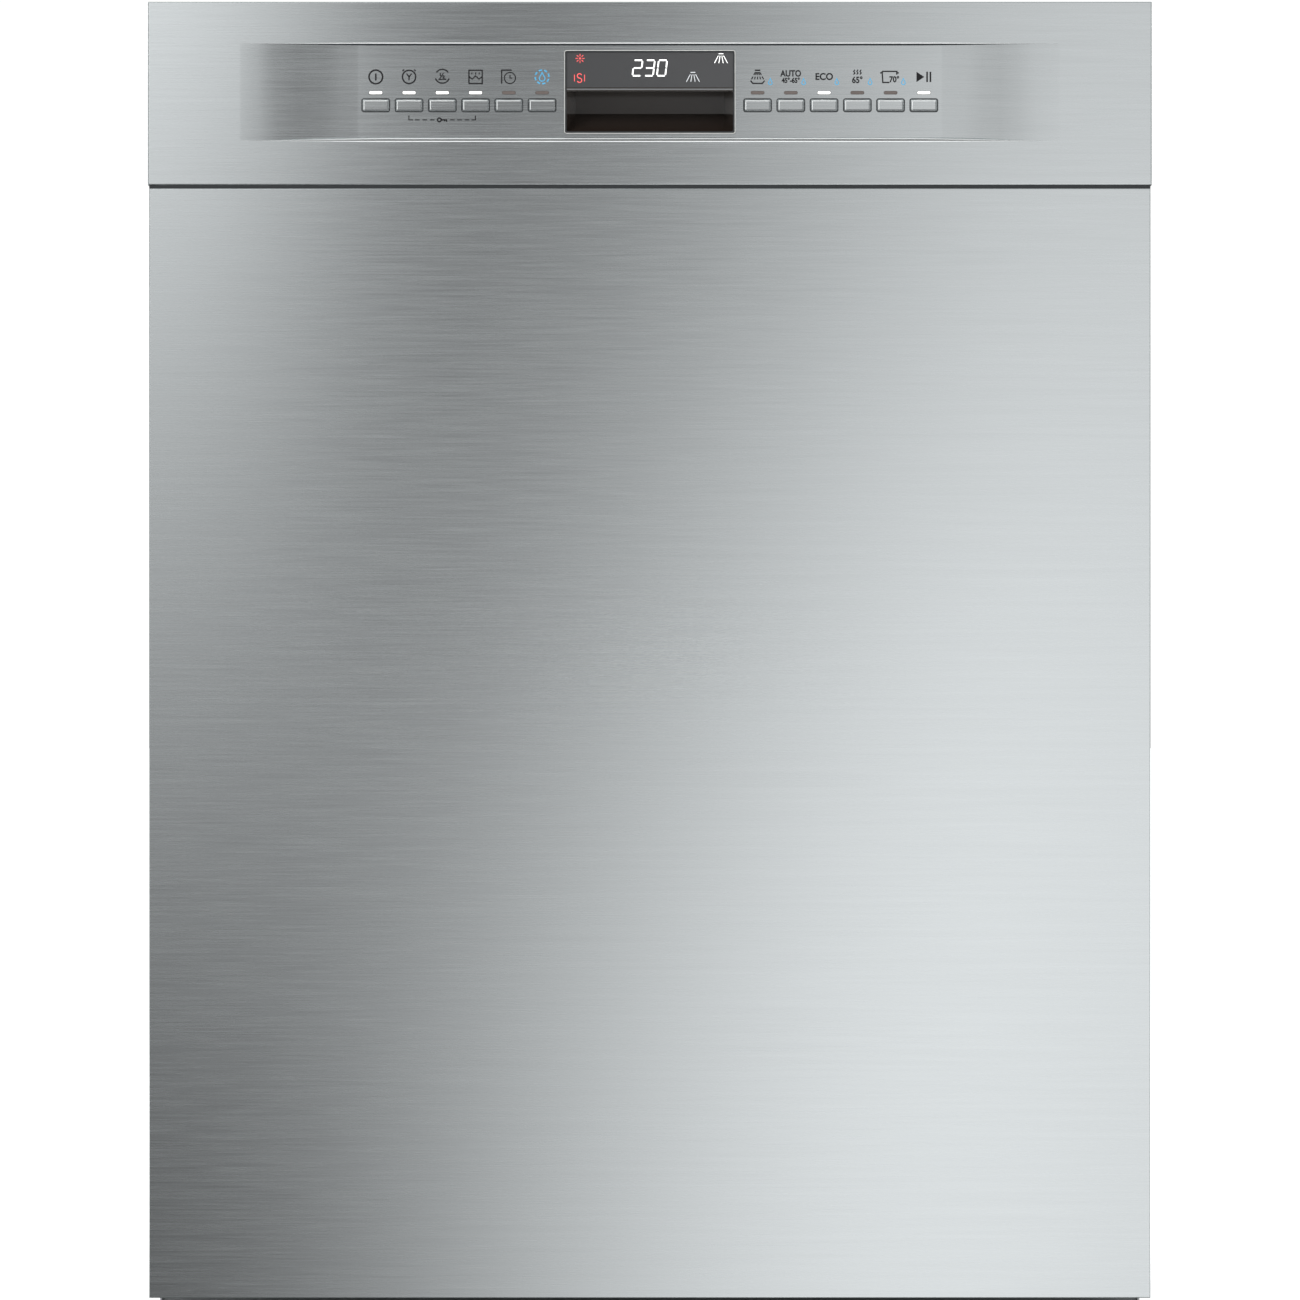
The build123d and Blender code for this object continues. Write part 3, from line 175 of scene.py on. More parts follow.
def moulded(name, colour, roughness, texture=0.25, coat=0.0, variation=0.06):
    """Injection-moulded plastic with a fine spark-eroded texture and slight tone drift."""
    plastic = Shader(name, colour, roughness, Coat_Weight=coat, Coat_Roughness=0.08)
    spark = plastic.noise((2400.0, 2400.0, 2400.0), detail=2.0)
    drift = plastic.noise((9.0, 9.0, 9.0), detail=3.0)
    dark = tuple(max(0.0, c * (1 - variation)) for c in colour)
    light = tuple(min(1.0, c * (1 + variation)) for c in colour)
    plastic.colour(plastic.ramp(drift, dark, light))
    plastic.gloss(plastic.ramp(spark, max(0.02, roughness - 0.06), min(1.0, roughness + 0.08)))
    plastic.bump(spark, texture, 0.00004)
    return plastic.material


def grip_plastic(name):
    """Glossy moulded grip: dark grey above as painted light, warming to brown-black below as painted shade.
    """
    grip = Shader(name, (0.02, 0.017, 0.015), 0.20, Coat_Weight=0.6, Coat_Roughness=0.06)
    place = grip.tree.nodes.new("ShaderNodeSeparateXYZ")
    grip.link(grip.coordinates.outputs["Generated"], place.inputs["Vector"])
    spark = grip.noise((2400.0, 2400.0, 2400.0), detail=2.0)
    # painted light and shade: lighter towards the top of the pocket, darker towards the bottom
    grip.colour(grip.ramp(place.outputs["Z"], (0.020, 0.013, 0.010), (0.050, 0.044, 0.040), 0.05, 0.5))
    grip.gloss(grip.ramp(spark, 0.16, 0.26))
    grip.bump(spark, 0.05, 0.00004)
    return grip.material


def rubber_skin(name):
    skin = Shader(name, (0.035, 0.036, 0.038), 0.62, Sheen_Weight=0.15)
    powder = skin.noise((700.0, 700.0, 700.0), detail=4.0)
    skin.colour(skin.ramp(powder, (0.026, 0.027, 0.028), (0.055, 0.056, 0.06)))
    skin.gloss(skin.ramp(powder, 0.52, 0.72))
    skin.bump(powder, 0.2, 0.00008)
    return skin.material


def circuit_board(name):
    board = Shader(name, (0.02, 0.12, 0.06), 0.4, Coat_Weight=0.4)
    tracks = board.noise((240.0, 40.0, 700.0), detail=1.0)
    board.colour(board.ramp(tracks, (0.012, 0.10, 0.045), (0.05, 0.24, 0.12), 0.48, 0.52))
    board.bump(tracks, 0.2, 0.00005)
    return board.material


def glowing(name, colour, strength):
    """A lit symbol or light, a little uneven as light pipes are."""
    light = Shader(name, colour, 0.35)
    uneven = light.noise((900.0, 900.0, 900.0), detail=1.0)
    dim = tuple(0.88 * c for c in colour)
    light.link(light.ramp(uneven, dim, colour), light.shader.inputs["Emission Color"])
    light.colour(light.ramp(uneven, dim, colour))
    light.shader.inputs["Emission Strength"].default_value = strength
    return light.material


def ink(name, colour):
    printed = Shader(name, colour, 0.55, Specular_IOR_Level=0.08)
    speckle = printed.noise((5000.0, 5000.0, 5000.0), detail=1.0)
    edge = tuple(min(1.0, c + 0.012) for c in colour)
    printed.colour(printed.ramp(speckle, colour, edge))
    printed.gloss(printed.ramp(speckle, 0.5, 0.65))
    return printed.material


FRONT_STEEL = brushed("front_steel", (0.600, 0.624, 0.631), 0.24, "Z")
KEY_STEEL = brushed("key_steel", (0.630, 0.652, 0.658), 0.24, "Z")
STAINLESS = satin_steel("stainless", (0.63, 0.64, 0.65), 0.30)
ARM_STEEL = brushed("arm_steel", (0.64, 0.65, 0.66), 0.30, "Y", anisotropy=0.4)
ZINC = zinc_sheet("zinc_sheet")
SPRING_WIRE = satin_steel("spring_wire", (0.35, 0.35, 0.36), 0.38)
GREY_PLASTIC = moulded("grey_plastic", (0.16, 0.165, 0.17), 0.48)
LIGHT_PLASTIC = moulded("light_plastic", (0.62, 0.62, 0.60), 0.42)
BLUE_GREY = moulded("basket_plastic", (0.20, 0.23, 0.26), 0.45)
BLACK_PLASTIC = moulded("black_plastic", (0.014, 0.014, 0.015), 0.5)
GRIP_BLACK = grip_plastic("grip_black")
WIRE_COAT = moulded("wire_coat", (0.36, 0.40, 0.43), 0.35, texture=0.08, coat=0.25)
SMOKED_GLASS = moulded("smoked_glass", (0.058, 0.058, 0.060), 0.16, texture=0.0, coat=0.6, variation=0.03)
RUBBER = rubber_skin("rubber")
BOARD = circuit_board("circuit_board")
LENS = moulded("light_pipe", (0.13, 0.105, 0.095), 0.4, texture=0.0)
BLACK_INK = ink("black_ink", (0.012, 0.012, 0.013))
BLUE_INK = ink("blue_ink", (0.10, 0.38, 0.62))
LIT_WHITE = glowing("lit_white", (1.0, 1.0, 0.98), 1.0)
LIT_RED = glowing("lit_red", (0.85, 0.10, 0.10), 0.7)
LIT_GREY = glowing("lit_grey", (0.62, 0.64, 0.66), 0.55)
# painted highlight: a pale flat colour for the bright lips of the creases and the keys' edges
PAINTED_HIGHLIGHT = moulded("painted_highlight", (0.80, 0.81, 0.81), 0.35, texture=0.0)
SHADOW = ink("shadow_line", (0.03, 0.032, 0.034))

NODE_MATERIALS = {
    "control_panel": FRONT_STEEL, "door_outer_panel": FRONT_STEEL,
    "tub": STAINLESS, "door_inner_liner": STAINLESS, "door_screws": STAINLESS, "latch_striker": STAINLESS,
    "filter_plate": STAINLESS, "upper_rails": STAINLESS, "upper_slides": STAINLESS,
    "lower_spray_arm": ARM_STEEL, "upper_spray_arm": ARM_STEEL,
    "side_panel_left": ZINC, "side_panel_right": ZINC, "top_cover": ZINC, "rear_panel": ZINC,
    "hinge_brackets": ZINC, "hinge_arms": ZINC, "balance_springs": SPRING_WIRE,
    "base_tray": GREY_PLASTIC, "levelling_feet": GREY_PLASTIC, "sump": GREY_PLASTIC,
    "salt_cap": GREY_PLASTIC, "feed_pipe": GREY_PLASTIC, "upper_manifold": GREY_PLASTIC,
    "dispenser_body": GREY_PLASTIC, "cutlery_basket": BLUE_GREY, "cup_shelf": BLUE_GREY,
    "coarse_filter": LIGHT_PLASTIC, "softener": LIGHT_PLASTIC, "inlet_valve": LIGHT_PLASTIC,
    "dispenser_lid": LIGHT_PLASTIC, "rinse_aid_cap": LIGHT_PLASTIC,
    "plinth": BLACK_PLASTIC, "circulation_pump": BLACK_PLASTIC, "drain_pump": BLACK_PLASTIC,
    "terminal_box": BLACK_PLASTIC, "door_lock": BLACK_PLASTIC,
    "lower_rack": WIRE_COAT, "upper_rack": WIRE_COAT, "door_seal": RUBBER,
    "handle_cup": GRIP_BLACK, "display_window": SMOKED_GLASS, "indicator_lights": LENS,
    "control_board": BOARD,
}
for node_name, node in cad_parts.items():
    material = NODE_MATERIALS.get(node_name, BLUE_GREY if node_name.startswith("rack_wheel") else KEY_STEEL)
    node.data.materials.clear()
    node.data.materials.append(material)


# ---------------------------------------------------------------- mesh helpers
def mesh_piece(name, build, material, body, bevel=0.0):
    """Makes one object from a bmesh builder, gives it a material and lets it ride on a body."""
    mesh = bpy.data.meshes.new(name)
    shape = bmesh.new()
    build(shape)
    bmesh.ops.recalc_face_normals(shape, faces=shape.faces)
    shape.to_mesh(mesh)
    shape.free()
    mesh.materials.append(material)
    piece = bpy.data.objects.new(name, mesh)
    bpy.context.scene.collection.objects.link(piece)
    if bevel:
        modifier = piece.modifiers.new("soft_edges", "BEVEL")
        modifier.width = bevel
        modifier.segments = 2
        modifier.limit_method = "ANGLE"
    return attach(piece, body)


def prism(shape, outline, y_front, y_back):
    """A closed prism along Y from a front-view outline given as (x, z) points in metres."""
    front = [shape.verts.new((x, y_front, z)) for x, z in outline]
    back = [shape.verts.new((x, y_back, z)) for x, z in outline]
    shape.faces.new(front)
    shape.faces.new(list(reversed(back)))
    count = len(outline)
    for i in range(count):
        j = (i + 1) % count
        shape.faces.new((front[i], back[i], back[j], front[j]))


def ribbon(shape, points, width, y_front, y_back, closed=False):
    """A mitred stroke along (x, z) points, as a closed strip of even width."""
    count = len(points)
    left, right = [], []
    for i, (x, z) in enumerate(points):
        before = points[i - 1] if i or closed else points[i]
        after = points[(i + 1) % count] if i < count - 1 or closed else points[i]
        into = Vector((x - before[0], z - before[1])).normalized()
        out = Vector((after[0] - x, after[1] - z)).normalized()
        along = (into + out).normalized()
        across = Vector((-along.y, along.x))
        segment = out if out.length else into
        reach = width / 2 / max(0.5, abs(across.dot(Vector((-segment.y, segment.x)))))
        left.append((x + across.x * reach, z + across.y * reach))
        right.append((x - across.x * reach, z - across.y * reach))
    rings = [[shape.verts.new((px, y, pz)) for px, pz in side] for side in (left, right)
             for y in (y_front, y_back)]
    left_front, left_back, right_front, right_back = rings
    for i in range(count if closed else count - 1):
        j = (i + 1) % count
        shape.faces.new((left_front[i], left_front[j], right_front[j], right_front[i]))
        shape.faces.new((left_back[i], right_back[i], right_back[j], left_back[j]))
        shape.faces.new((left_front[i], left_back[i], left_back[j], left_front[j]))
        shape.faces.new((right_front[i], right_front[j], right_back[j], right_back[i]))
    if not closed:
        for i in (0, count - 1):
            shape.faces.new((left_front[i], right_front[i], right_back[i], left_back[i]))


def arc(centre, radius, start, end, steps=24):
    """(x, z) points on an arc, in degrees from +X towards +Z."""
    turn = [math.radians(start + (end - start) * i / steps) for i in range(steps + 1)]
    return [(centre[0] + radius * math.cos(a), centre[1] + radius * math.sin(a)) for a in turn]


def rounded(half_width, half_height, radius, steps=6):
    """A rounded rectangle's outline around the origin."""
    corners = ((1, 1, 0), (-1, 1, 90), (-1, -1, 180), (1, -1, 270))
    outline = []
    for side_x, side_z, start in corners:
        centre = (side_x * (half_width - radius), side_z * (half_height - radius))
        outline += arc(centre, radius, start, start + 90, steps)
    return outline


PRINT_SIZE = 1.1                     # printed symbols against the millimetres they are drawn in
PRINT_WEIGHT = 1.6


class Symbol:
    """A printed or lit symbol, or a painted highlight or shade stroke, drawn in millimetres around its own
    centre.
    """

    def __init__(self, name, x, z, material, surface=RECESS_Y, raised=0.06, body="door",
                 size=1.0, weight=1.0):
        self.name = name
        self.size = size
        self.weight = weight
        self.centre = (x, z)
        self.material = material
        self.front = surface - raised * MM
        self.back = surface - 0.005 * MM
        self.body = body
        self.strokes = []

    def place(self, points):
        unit = self.size * MM
        return [(self.centre[0] + x * unit, self.centre[1] + z * unit) for x, z in points]

    def line(self, *points, width=0.55, closed=False):
        self.strokes.append((self.place(points), width * self.weight * MM, closed))
        return self

    def ring(self, radius, centre=(0, 0), width=0.55):
        return self.line(*arc(centre, radius, 0, 360, 36)[:-1], width=width, closed=True)

    def fill(self, *points):
        self.strokes.append((self.place(points), 0.0, True))
        return self

    def disc(self, radius, centre=(0, 0)):
        return self.fill(*arc(centre, radius, 0, 360, 24)[:-1])

    def done(self):
        def build(shape):
            for points, width, closed in self.strokes:
                if width:
                    ribbon(shape, points, width, self.front, self.back, closed)
                else:
                    prism(shape, points, self.front, self.back)
        return mesh_piece(self.name, build, self.material, self.body)


def words(name, text, x, z, height, material, surface=RECESS_Y, stretch=1.0):
    """A short generic function word or number, facing the front."""
    curve = bpy.data.curves.new(name, "FONT")
    curve.body = text
    curve.size = height * MM * 1.55
    curve.extrude = 0.025 * MM
    curve.bevel_depth = 0.17 * MM
    curve.bevel_resolution = 0
    curve.align_x = "CENTER"
    curve.align_y = "CENTER"
    curve.materials.append(material)
    label = bpy.data.objects.new(name, curve)
    label.rotation_euler = (math.pi / 2, 0, 0)
    label.scale = (stretch, 1, 1)
    label.location = (x, surface - 0.03 * MM, z)
    bpy.context.scene.collection.objects.link(label)
    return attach(label, "door")


# ---------------------------------------------------------------- printed symbols above the keys
def symbol(key, material=BLACK_INK, name=None, dx=0.0, dz=0.0):
    return Symbol(name or f"symbol_{key}", key_x[key] + dx * MM, ICON_Z + dz * MM, material,
                  size=PRINT_SIZE, weight=PRINT_WEIGHT)


symbol("power").ring(3.7, width=0.6).line((0, -1.9), (0, 1.9), width=0.6).done()
symbol("timer").ring(3.6).line((0, -1.9), (0, 0.1), (-1.4, 1.8), width=0.5) \
    .line((0, 0.1), (1.4, 1.8), width=0.5) \
    .line((-3.6, 3.2), (-2.7, 4.0), width=0.5).line((3.6, 3.2), (2.7, 4.0), width=0.5).done()
symbol("half_load").line(*arc((0, 0.5), 3.9, 200, 340), width=0.5) \
    .line(*arc((0, 0.2), 3.9, 35, 145), width=0.5) \
    .line((-2.2, -1.3), (2.2, -1.3), width=0.45).done()
words("half_load_fraction", "½", key_x["half_load"], ICON_Z + 0.6 * MM, 2.9, BLACK_INK)
symbol("zone").line((-3.6, -3.6), (3.6, -3.6), (3.6, 3.6), (-3.6, 3.6), closed=True, width=0.5) \
    .line((-3.6, 0.2), (-1.8, -1.2), (0, 0.6), (1.8, -1.2), (3.6, 0.2), width=0.45) \
    .line((-2.0, 2.4), (-2.0, 1.3), width=0.4).line((0, 2.4), (0, 1.3), width=0.4) \
    .line((2.0, 2.4), (2.0, 1.3), width=0.4).done()
symbol("door").ring(3.0, centre=(0.6, -0.6), width=0.42) \
    .line((0.6, 1.2), (0.6, -0.6), (1.9, -0.6), width=0.4) \
    .line((-3.9, -3.6), (-3.9, 3.7), (1.6, 3.7), width=0.5).done()
extra = symbol("extra", BLUE_INK)
for dash in range(8):
    extra.line(*arc((0, 0), 3.7, 45 * dash, 45 * dash + 29, 6), width=0.55)
extra.line(*arc((0, -0.8), 1.5, 150, 390, 20), (0, 2.4), closed=True, width=0.4).done()
spray = symbol("spray").line((-3.8, -2.0), (-2.6, -3.5), (2.6, -3.5), (3.8, -2.0), width=0.5)
spray.line((-1.5, 3.6), (1.5, 3.6), width=0.55)
for reach in (-3.3, -1.65, 0.0, 1.65, 3.3):
    spray.line((reach * 0.35, 2.6), (reach * 0.62, 1.0), width=0.42)
    spray.line((reach * 0.74, 0.2), (reach, -1.3), width=0.42)
spray.done()
words("auto_word", "AUTO", key_x["auto"], ICON_Z + 1.9 * MM, 3.3, BLACK_INK, stretch=0.86)
words("auto_range", "45°-65°", key_x["auto"], ICON_Z - 2.2 * MM, 2.6, BLACK_INK, stretch=0.86)
words("eco_word", "ECO", key_x["eco"], ICON_Z, 3.6, BLACK_INK, stretch=0.95)
daily = symbol("daily")
for curl in (-1.7, 0.0, 1.7):
    daily.line((curl - 0.4, 1.3), (curl + 0.4, 2.1), (curl - 0.3, 3.0), (curl + 0.4, 3.9), width=0.42)
daily.done()
words("daily_heat", "65°", key_x["daily"], ICON_Z - 2.0 * MM, 3.3, BLACK_INK, stretch=0.9)
symbol("pots").line((-4.6, 3.0), (-4.2, -3.0), (-0.6, -3.0), width=0.5) \
    .line((-4.6, 3.0), (3.4, 3.0), (3.3, 1.2), width=0.5) \
    .line((-5.7, 2.2), (-4.6, 2.2), width=0.5).line((3.4, 2.2), (4.5, 2.2), width=0.5).done()
words("pots_heat", "70°", key_x["pots"] + 2.2 * MM, ICON_Z - 1.6 * MM, 3.1, BLACK_INK, stretch=0.9)
symbol("start").fill((-4.0, 2.8), (0.2, 0.0), (-4.0, -2.8)) \
    .fill((1.3, 2.8), (1.3, -2.8), (2.2, -2.8), (2.2, 2.8)) \
    .fill((3.1, 2.8), (3.1, -2.8), (4.0, -2.8), (4.0, 2.8)).done()
for key in ("spray", "auto", "eco", "daily", "pots"):
    symbol(key, BLUE_INK, f"drop_{key}", 7.6, -3.0).line(*arc((0, -0.5), 1.0, 150, 390, 12), (0, 1.9),
                                                        closed=True, width=0.34).done()

# Child-lock bracket under three keys, with a small key in its middle
bracket_x = (key_x["timer"] + key_x["door"]) / 2 - 10.0 * MM
bracket = Symbol("lock_bracket", bracket_x, PANEL_TOP - 70.3 * MM, BLACK_INK, weight=PRINT_WEIGHT)
BRACKET_HALF = 19.8
for side in (-1, 1):
    bracket.line((side * BRACKET_HALF, 2.6), (side * BRACKET_HALF, 0), (side * (BRACKET_HALF - 2.4), 0),
                 width=0.4)
    for dash in range(3):
        start = 4.6 + dash * 4.4
        bracket.line((side * start, 0), (side * (start + 2.8), 0), width=0.4)
bracket.ring(1.1, centre=(-1.7, 0), width=0.55)
bracket.line((-0.6, 0), (3.0, 0), width=0.5).line((2.6, 0), (2.6, -1.1), width=0.5) \
    .line((1.4, 0), (1.4, -0.9), width=0.5).done()

# ---------------------------------------------------------------- indicator lights and window
LIT_KEYS = ("power", "timer", "half_load", "zone", "eco", "start")
for key in KEY_NAMES:
    outline = [(key_x[key] + x, LIGHT_Z + z) for x, z in rounded(3.8 * MM, 0.82 * MM, 0.75 * MM)]
    mesh_piece(f"light_{key}", lambda shape, outline=outline: prism(shape, outline, RECESS_Y - 0.36 * MM,
                                                                    RECESS_Y - 0.205 * MM),
               LIT_WHITE if key in LIT_KEYS else LENS, "door")

SEGMENTS = {"top": ((0.06, 1), (0.94, 1)), "upper_left": ((0, 0.94), (0, 0.54)),
            "upper_right": ((1, 0.94), (1, 0.54)), "middle": ((0.06, 0.5), (0.94, 0.5)),
            "lower_left": ((0, 0.46), (0, 0.06)), "lower_right": ((1, 0.46), (1, 0.06)),
            "bottom": ((0.06, 0), (0.94, 0))}
DIGITS = {"2": ("top", "upper_right", "middle", "lower_left", "bottom"),
          "3": ("top", "upper_right", "middle", "lower_right", "bottom"),
          "0": ("top", "upper_left", "upper_right", "lower_left", "lower_right", "bottom")}
DIGIT_WIDTH, DIGIT_HEIGHT, DIGIT_STEP, SLANT = 5.0, 9.2, 7.3, 0.12
digits = Symbol("display_digits", 0.0, PANEL_TOP - 44.0 * MM, LIT_WHITE, surface=window_y)
for place_index, digit in enumerate("230"):
    left_edge = (place_index - 1) * DIGIT_STEP - DIGIT_WIDTH / 2 - 0.6
    for segment in DIGITS[digit]:
        ends = [(left_edge + u * DIGIT_WIDTH + SLANT * v * DIGIT_HEIGHT, v * DIGIT_HEIGHT)
                for u, v in SEGMENTS[segment]]
        digits.line(*ends, width=0.85)
digits.done()

rinse_mark = Symbol("rinse_mark", -41.6 * MM, PANEL_TOP - 33.7 * MM, LIT_RED, surface=window_y)
RAY_START, RAY_END = 1.3, 2.7
for ray in range(8):
    way = (math.cos(math.radians(45 * ray)), math.sin(math.radians(45 * ray)))
    rinse_mark.line(*[(reach * way[0], reach * way[1]) for reach in (RAY_START, RAY_END)], width=0.4)
rinse_mark.disc(0.6).done()
Symbol("salt_mark", -41.9 * MM, PANEL_TOP - 45.4 * MM, LIT_RED, surface=window_y, size=1.25) \
    .line(*arc((0, 1.05), 1.05, 20, 270, 14), width=0.5) \
    .line(*arc((0, -1.05), 1.05, 90, -160, 14), width=0.5) \
    .line((-2.4, -1.6), (-2.4, 1.6), width=0.4).line((2.4, -1.6), (2.4, 1.6), width=0.4).done()
SPRAY_MARKS = (("wash_mark", 42.4, 33.9, LIT_WHITE), ("dry_mark", 25.7, 45.0, LIT_GREY))
for mark_name, mark_x, drop, mark_material in SPRAY_MARKS:
    mark = Symbol(mark_name, mark_x * MM, PANEL_TOP - drop * MM, mark_material, surface=window_y)
    mark.line((-1.4, 3.0), (1.4, 3.0), width=0.45)
    for reach in (-3.9, -1.3, 1.3, 3.9):
        mark.line((reach * 0.40, 1.8), (reach, -2.6), width=0.38)
    mark.done()

block_x = (cup_low.x + cup_high.x) / 2
block_z = (cup_low.z + cup_high.z) / 2
block_half = ((cup_high.x - cup_low.x) / 2, (cup_high.z - cup_low.z) / 2)
RIM_WIDTH = 0.4 * MM
SHADOW_WIDTH = 0.9 * MM


# a thin rim round the window, coloured pale as a painted highlight of the steel's edge
def window_rim_highlight(shape):
    outline = rounded(block_half[0] - RIM_WIDTH / 2, block_half[1] - RIM_WIDTH / 2, 1.3 * MM)
    ribbon(shape, [(block_x + x, block_z + z) for x, z in outline], RIM_WIDTH, cup_low.y - 0.25 * MM,
           cup_low.y - 0.01 * MM, closed=True)


def window_shadow(shape):
    outline = rounded(block_half[0] - SHADOW_WIDTH, block_half[1] - SHADOW_WIDTH, 1.6 * MM)
    ribbon(shape, [(block_x + x, block_z + z) for x, z in outline], SHADOW_WIDTH, cup_low.y - 0.2 * MM,
           cup_low.y - 0.01 * MM, closed=True)


mesh_piece("window_rim_highlight", window_rim_highlight, LIGHT_PLASTIC, "door")
mesh_piece("window_shadow", window_shadow, SHADOW, "door")
lip = [(side * (block_half[0] - 1.6 * MM) + block_x, PANEL_TOP - drop * MM)
       for side, drop in ((-1, 51.75), (1, 51.75), (1, 52.45), (-1, 52.45))]
mesh_piece("glass_lip", lambda shape: prism(shape, lip, cup_low.y - 0.15 * MM, cup_low.y - 0.01 * MM),
           GREY_PLASTIC, "door")

# ---------------------------------------------------------------- painted highlights and shadows along the creases of the recess
CREASE_END = 243 * MM
CREASE_FLAT = 174 * MM
CREASE_FADE = 90 * MM
CREASE_STEPS = 120
STRIP = 0.05 * MM                    # thickness of the crease strips


def fade(x):
    """1 in the middle of the recess, 0 where it has run out."""
    reach = min(1.0, max(0.0, (CREASE_END - abs(x)) / CREASE_FADE))
    return reach * reach * (3 - 2 * reach)


def sink(x):
    """Depth of the recess at x, from the panel's face."""
    run = max(0.0, (abs(x) - CREASE_FLAT) / (CREASE_END + 1 * MM - CREASE_FLAT))
    depth = RECESS_Y - FRONT
    return depth * (1 - 2 * run * run) if run < 0.5 else 2 * depth * (1 - min(1.0, run)) ** 2


def crease(name, edge, near, far, slope, material):
    """A hair-thin strip beside the crease at height edge, from near to far of it, sinking by slope; painted
    highlight or painted shadow as its material gives.
    """
    def build(shape):
        columns = []
        for i in range(CREASE_STEPS + 1):
            x = -CREASE_END + 2 * CREASE_END * i / CREASE_STEPS
            offsets = [offset * MM * max(0.03, fade(x)) for offset in (near, far)]
            front = [(FRONT + min(abs(offset) * slope, sink(x)), edge + offset) for offset in offsets]
            columns.append([shape.verts.new((x, y - lift, z)) for lift in (STRIP, 0.0) for y, z in front])
        for one, two in zip(columns, columns[1:]):
            for i, j in ((0, 1), (1, 3), (3, 2), (2, 0)):
                shape.faces.new((one[i], one[j], two[j], two[i]))
        for column in (columns[0], columns[-1]):
            shape.faces.new((column[0], column[1], column[3], column[2]))
    mesh_piece(name, build, material, "door")


TOP_CREASE = PANEL_TOP - 25.0 * MM
BOTTOM_CREASE = PANEL_TOP - 82.8 * MM
# painted highlights on the lips of the creases, painted shadows in the creases themselves
crease("crease_top_highlight", TOP_CREASE, 0.05, 0.6, 0.0, PAINTED_HIGHLIGHT)
crease("crease_top_shadow", TOP_CREASE, 0.0, -0.95, 2.5, SHADOW)
crease("crease_bottom_upper_highlight", BOTTOM_CREASE, 0.85, 1.5, 0.9, PAINTED_HIGHLIGHT)
crease("crease_bottom_shadow", BOTTOM_CREASE, 0.0, 0.8, 0.9, SHADOW)
crease("crease_bottom_highlight", BOTTOM_CREASE, -0.05, -0.7, 0.0, PAINTED_HIGHLIGHT)

# Painted shadow: dark strips in the gaps around the keys, and in the gap between panel and door
KEY_Z = PANEL_TOP - 61.6 * MM
KEY_GAP_SHADOW_HALF = (8.28 * MM, 3.88 * MM)
KEY_GAP_SHADOW_RADIUS = 1.3 * MM
KEY_GAP_SHADOW_WIDTH = 0.6 * MM
for key in KEY_NAMES:
    outline = [(key_x[key] + x, KEY_Z + z) for x, z in rounded(*KEY_GAP_SHADOW_HALF, KEY_GAP_SHADOW_RADIUS)]
    mesh_piece(f"key_gap_shadow_{key}", lambda shape, outline=outline: ribbon(
        shape, outline, KEY_GAP_SHADOW_WIDTH, RECESS_Y - 0.04 * MM, RECESS_Y + 0.5 * MM, closed=True),
        SHADOW, "door")
    body = f"button_{key}"
    # painted highlight along each key's top and left edges, painted shade along its bottom and right edges
    Symbol(f"key_highlight_{key}", key_x[key], KEY_Z, PAINTED_HIGHLIGHT, surface=key_face_y, body=body) \
        .line((-7.0, -2.6), (-7.0, 2.6), (7.0, 2.6), width=0.4).done()
    Symbol(f"key_shade_{key}", key_x[key], KEY_Z, GREY_PLASTIC, surface=key_face_y, body=body) \
        .line((-6.7, -2.6), (7.0, -2.6), (7.0, 2.3), width=0.4).done()
# painted shadow: a dark strip filling the gap between panel and door
gap_outline = [(door_low.x, door_high.z), (door_high.x, door_high.z),
               (door_high.x, panel_low.z), (door_low.x, panel_low.z)]
mesh_piece("door_gap_shadow", lambda shape: prism(shape, gap_outline, FRONT + 0.6 * MM, FRONT + 2.5 * MM),
           SHADOW, "door")


# ---------------------------------------------------------------- edges that catch light
SOFT_EDGES = {"control_panel": 0.35, "door_outer_panel": 0.35, "handle_cup": 0.5, "display_window": 0.25,
              "cutlery_basket": 0.5, "dispenser_body": 0.8, "dispenser_lid": 0.6, "base_tray": 1.2,
              "plinth": 0.4, "tub": 0.3, "door_inner_liner": 0.4, "softener": 1.5, "door_seal": 1.8}
for node_name, width in SOFT_EDGES.items():
    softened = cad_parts[node_name].modifiers.new("soft_edges", "BEVEL")
    softened.width = width * MM
    softened.segments = 2
    softened.limit_method = "ANGLE"
    softened.angle_limit = math.radians(40)


SHARP_ANGLE = math.radians(28)


def smooth_bends(node):
    """Shades faces smoothly across shallow bends and keeps real edges sharp."""
    group = bpy.data.node_groups.get("smooth_bends")
    if group is None:
        group = bpy.data.node_groups.new("smooth_bends", "GeometryNodeTree")
        group.interface.new_socket("Geometry", in_out="INPUT", socket_type="NodeSocketGeometry")
        group.interface.new_socket("Geometry", in_out="OUTPUT", socket_type="NodeSocketGeometry")
        start = group.nodes.new("NodeGroupInput")
        end = group.nodes.new("NodeGroupOutput")
        angle = group.nodes.new("GeometryNodeInputMeshEdgeAngle")
        steep = group.nodes.new("FunctionNodeCompare")
        steep.inputs["B"].default_value = SHARP_ANGLE
        all_smooth = group.nodes.new("GeometryNodeSetShadeSmooth")
        edges_sharp = group.nodes.new("GeometryNodeSetShadeSmooth")
        edges_sharp.domain = "EDGE"
        edges_sharp.inputs["Shade Smooth"].default_value = False
        group.links.new(angle.outputs["Unsigned Angle"], steep.inputs["A"])
        group.links.new(start.outputs[0], all_smooth.inputs[0])
        group.links.new(all_smooth.outputs[0], edges_sharp.inputs[0])
        group.links.new(steep.outputs["Result"], edges_sharp.inputs["Selection"])
        group.links.new(edges_sharp.outputs[0], end.inputs[0])
    node.modifiers.new("smooth_bends", "NODES").node_group = group


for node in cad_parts.values():
    smooth_bends(node)


# ---------------------------------------------------------------- stage, lights and camera
def stage_material(name):
    material = bpy.data.materials.new(name)
    material.use_nodes = True
    material.node_tree.nodes.clear()
    return material, material.node_tree.nodes, material.node_tree.links


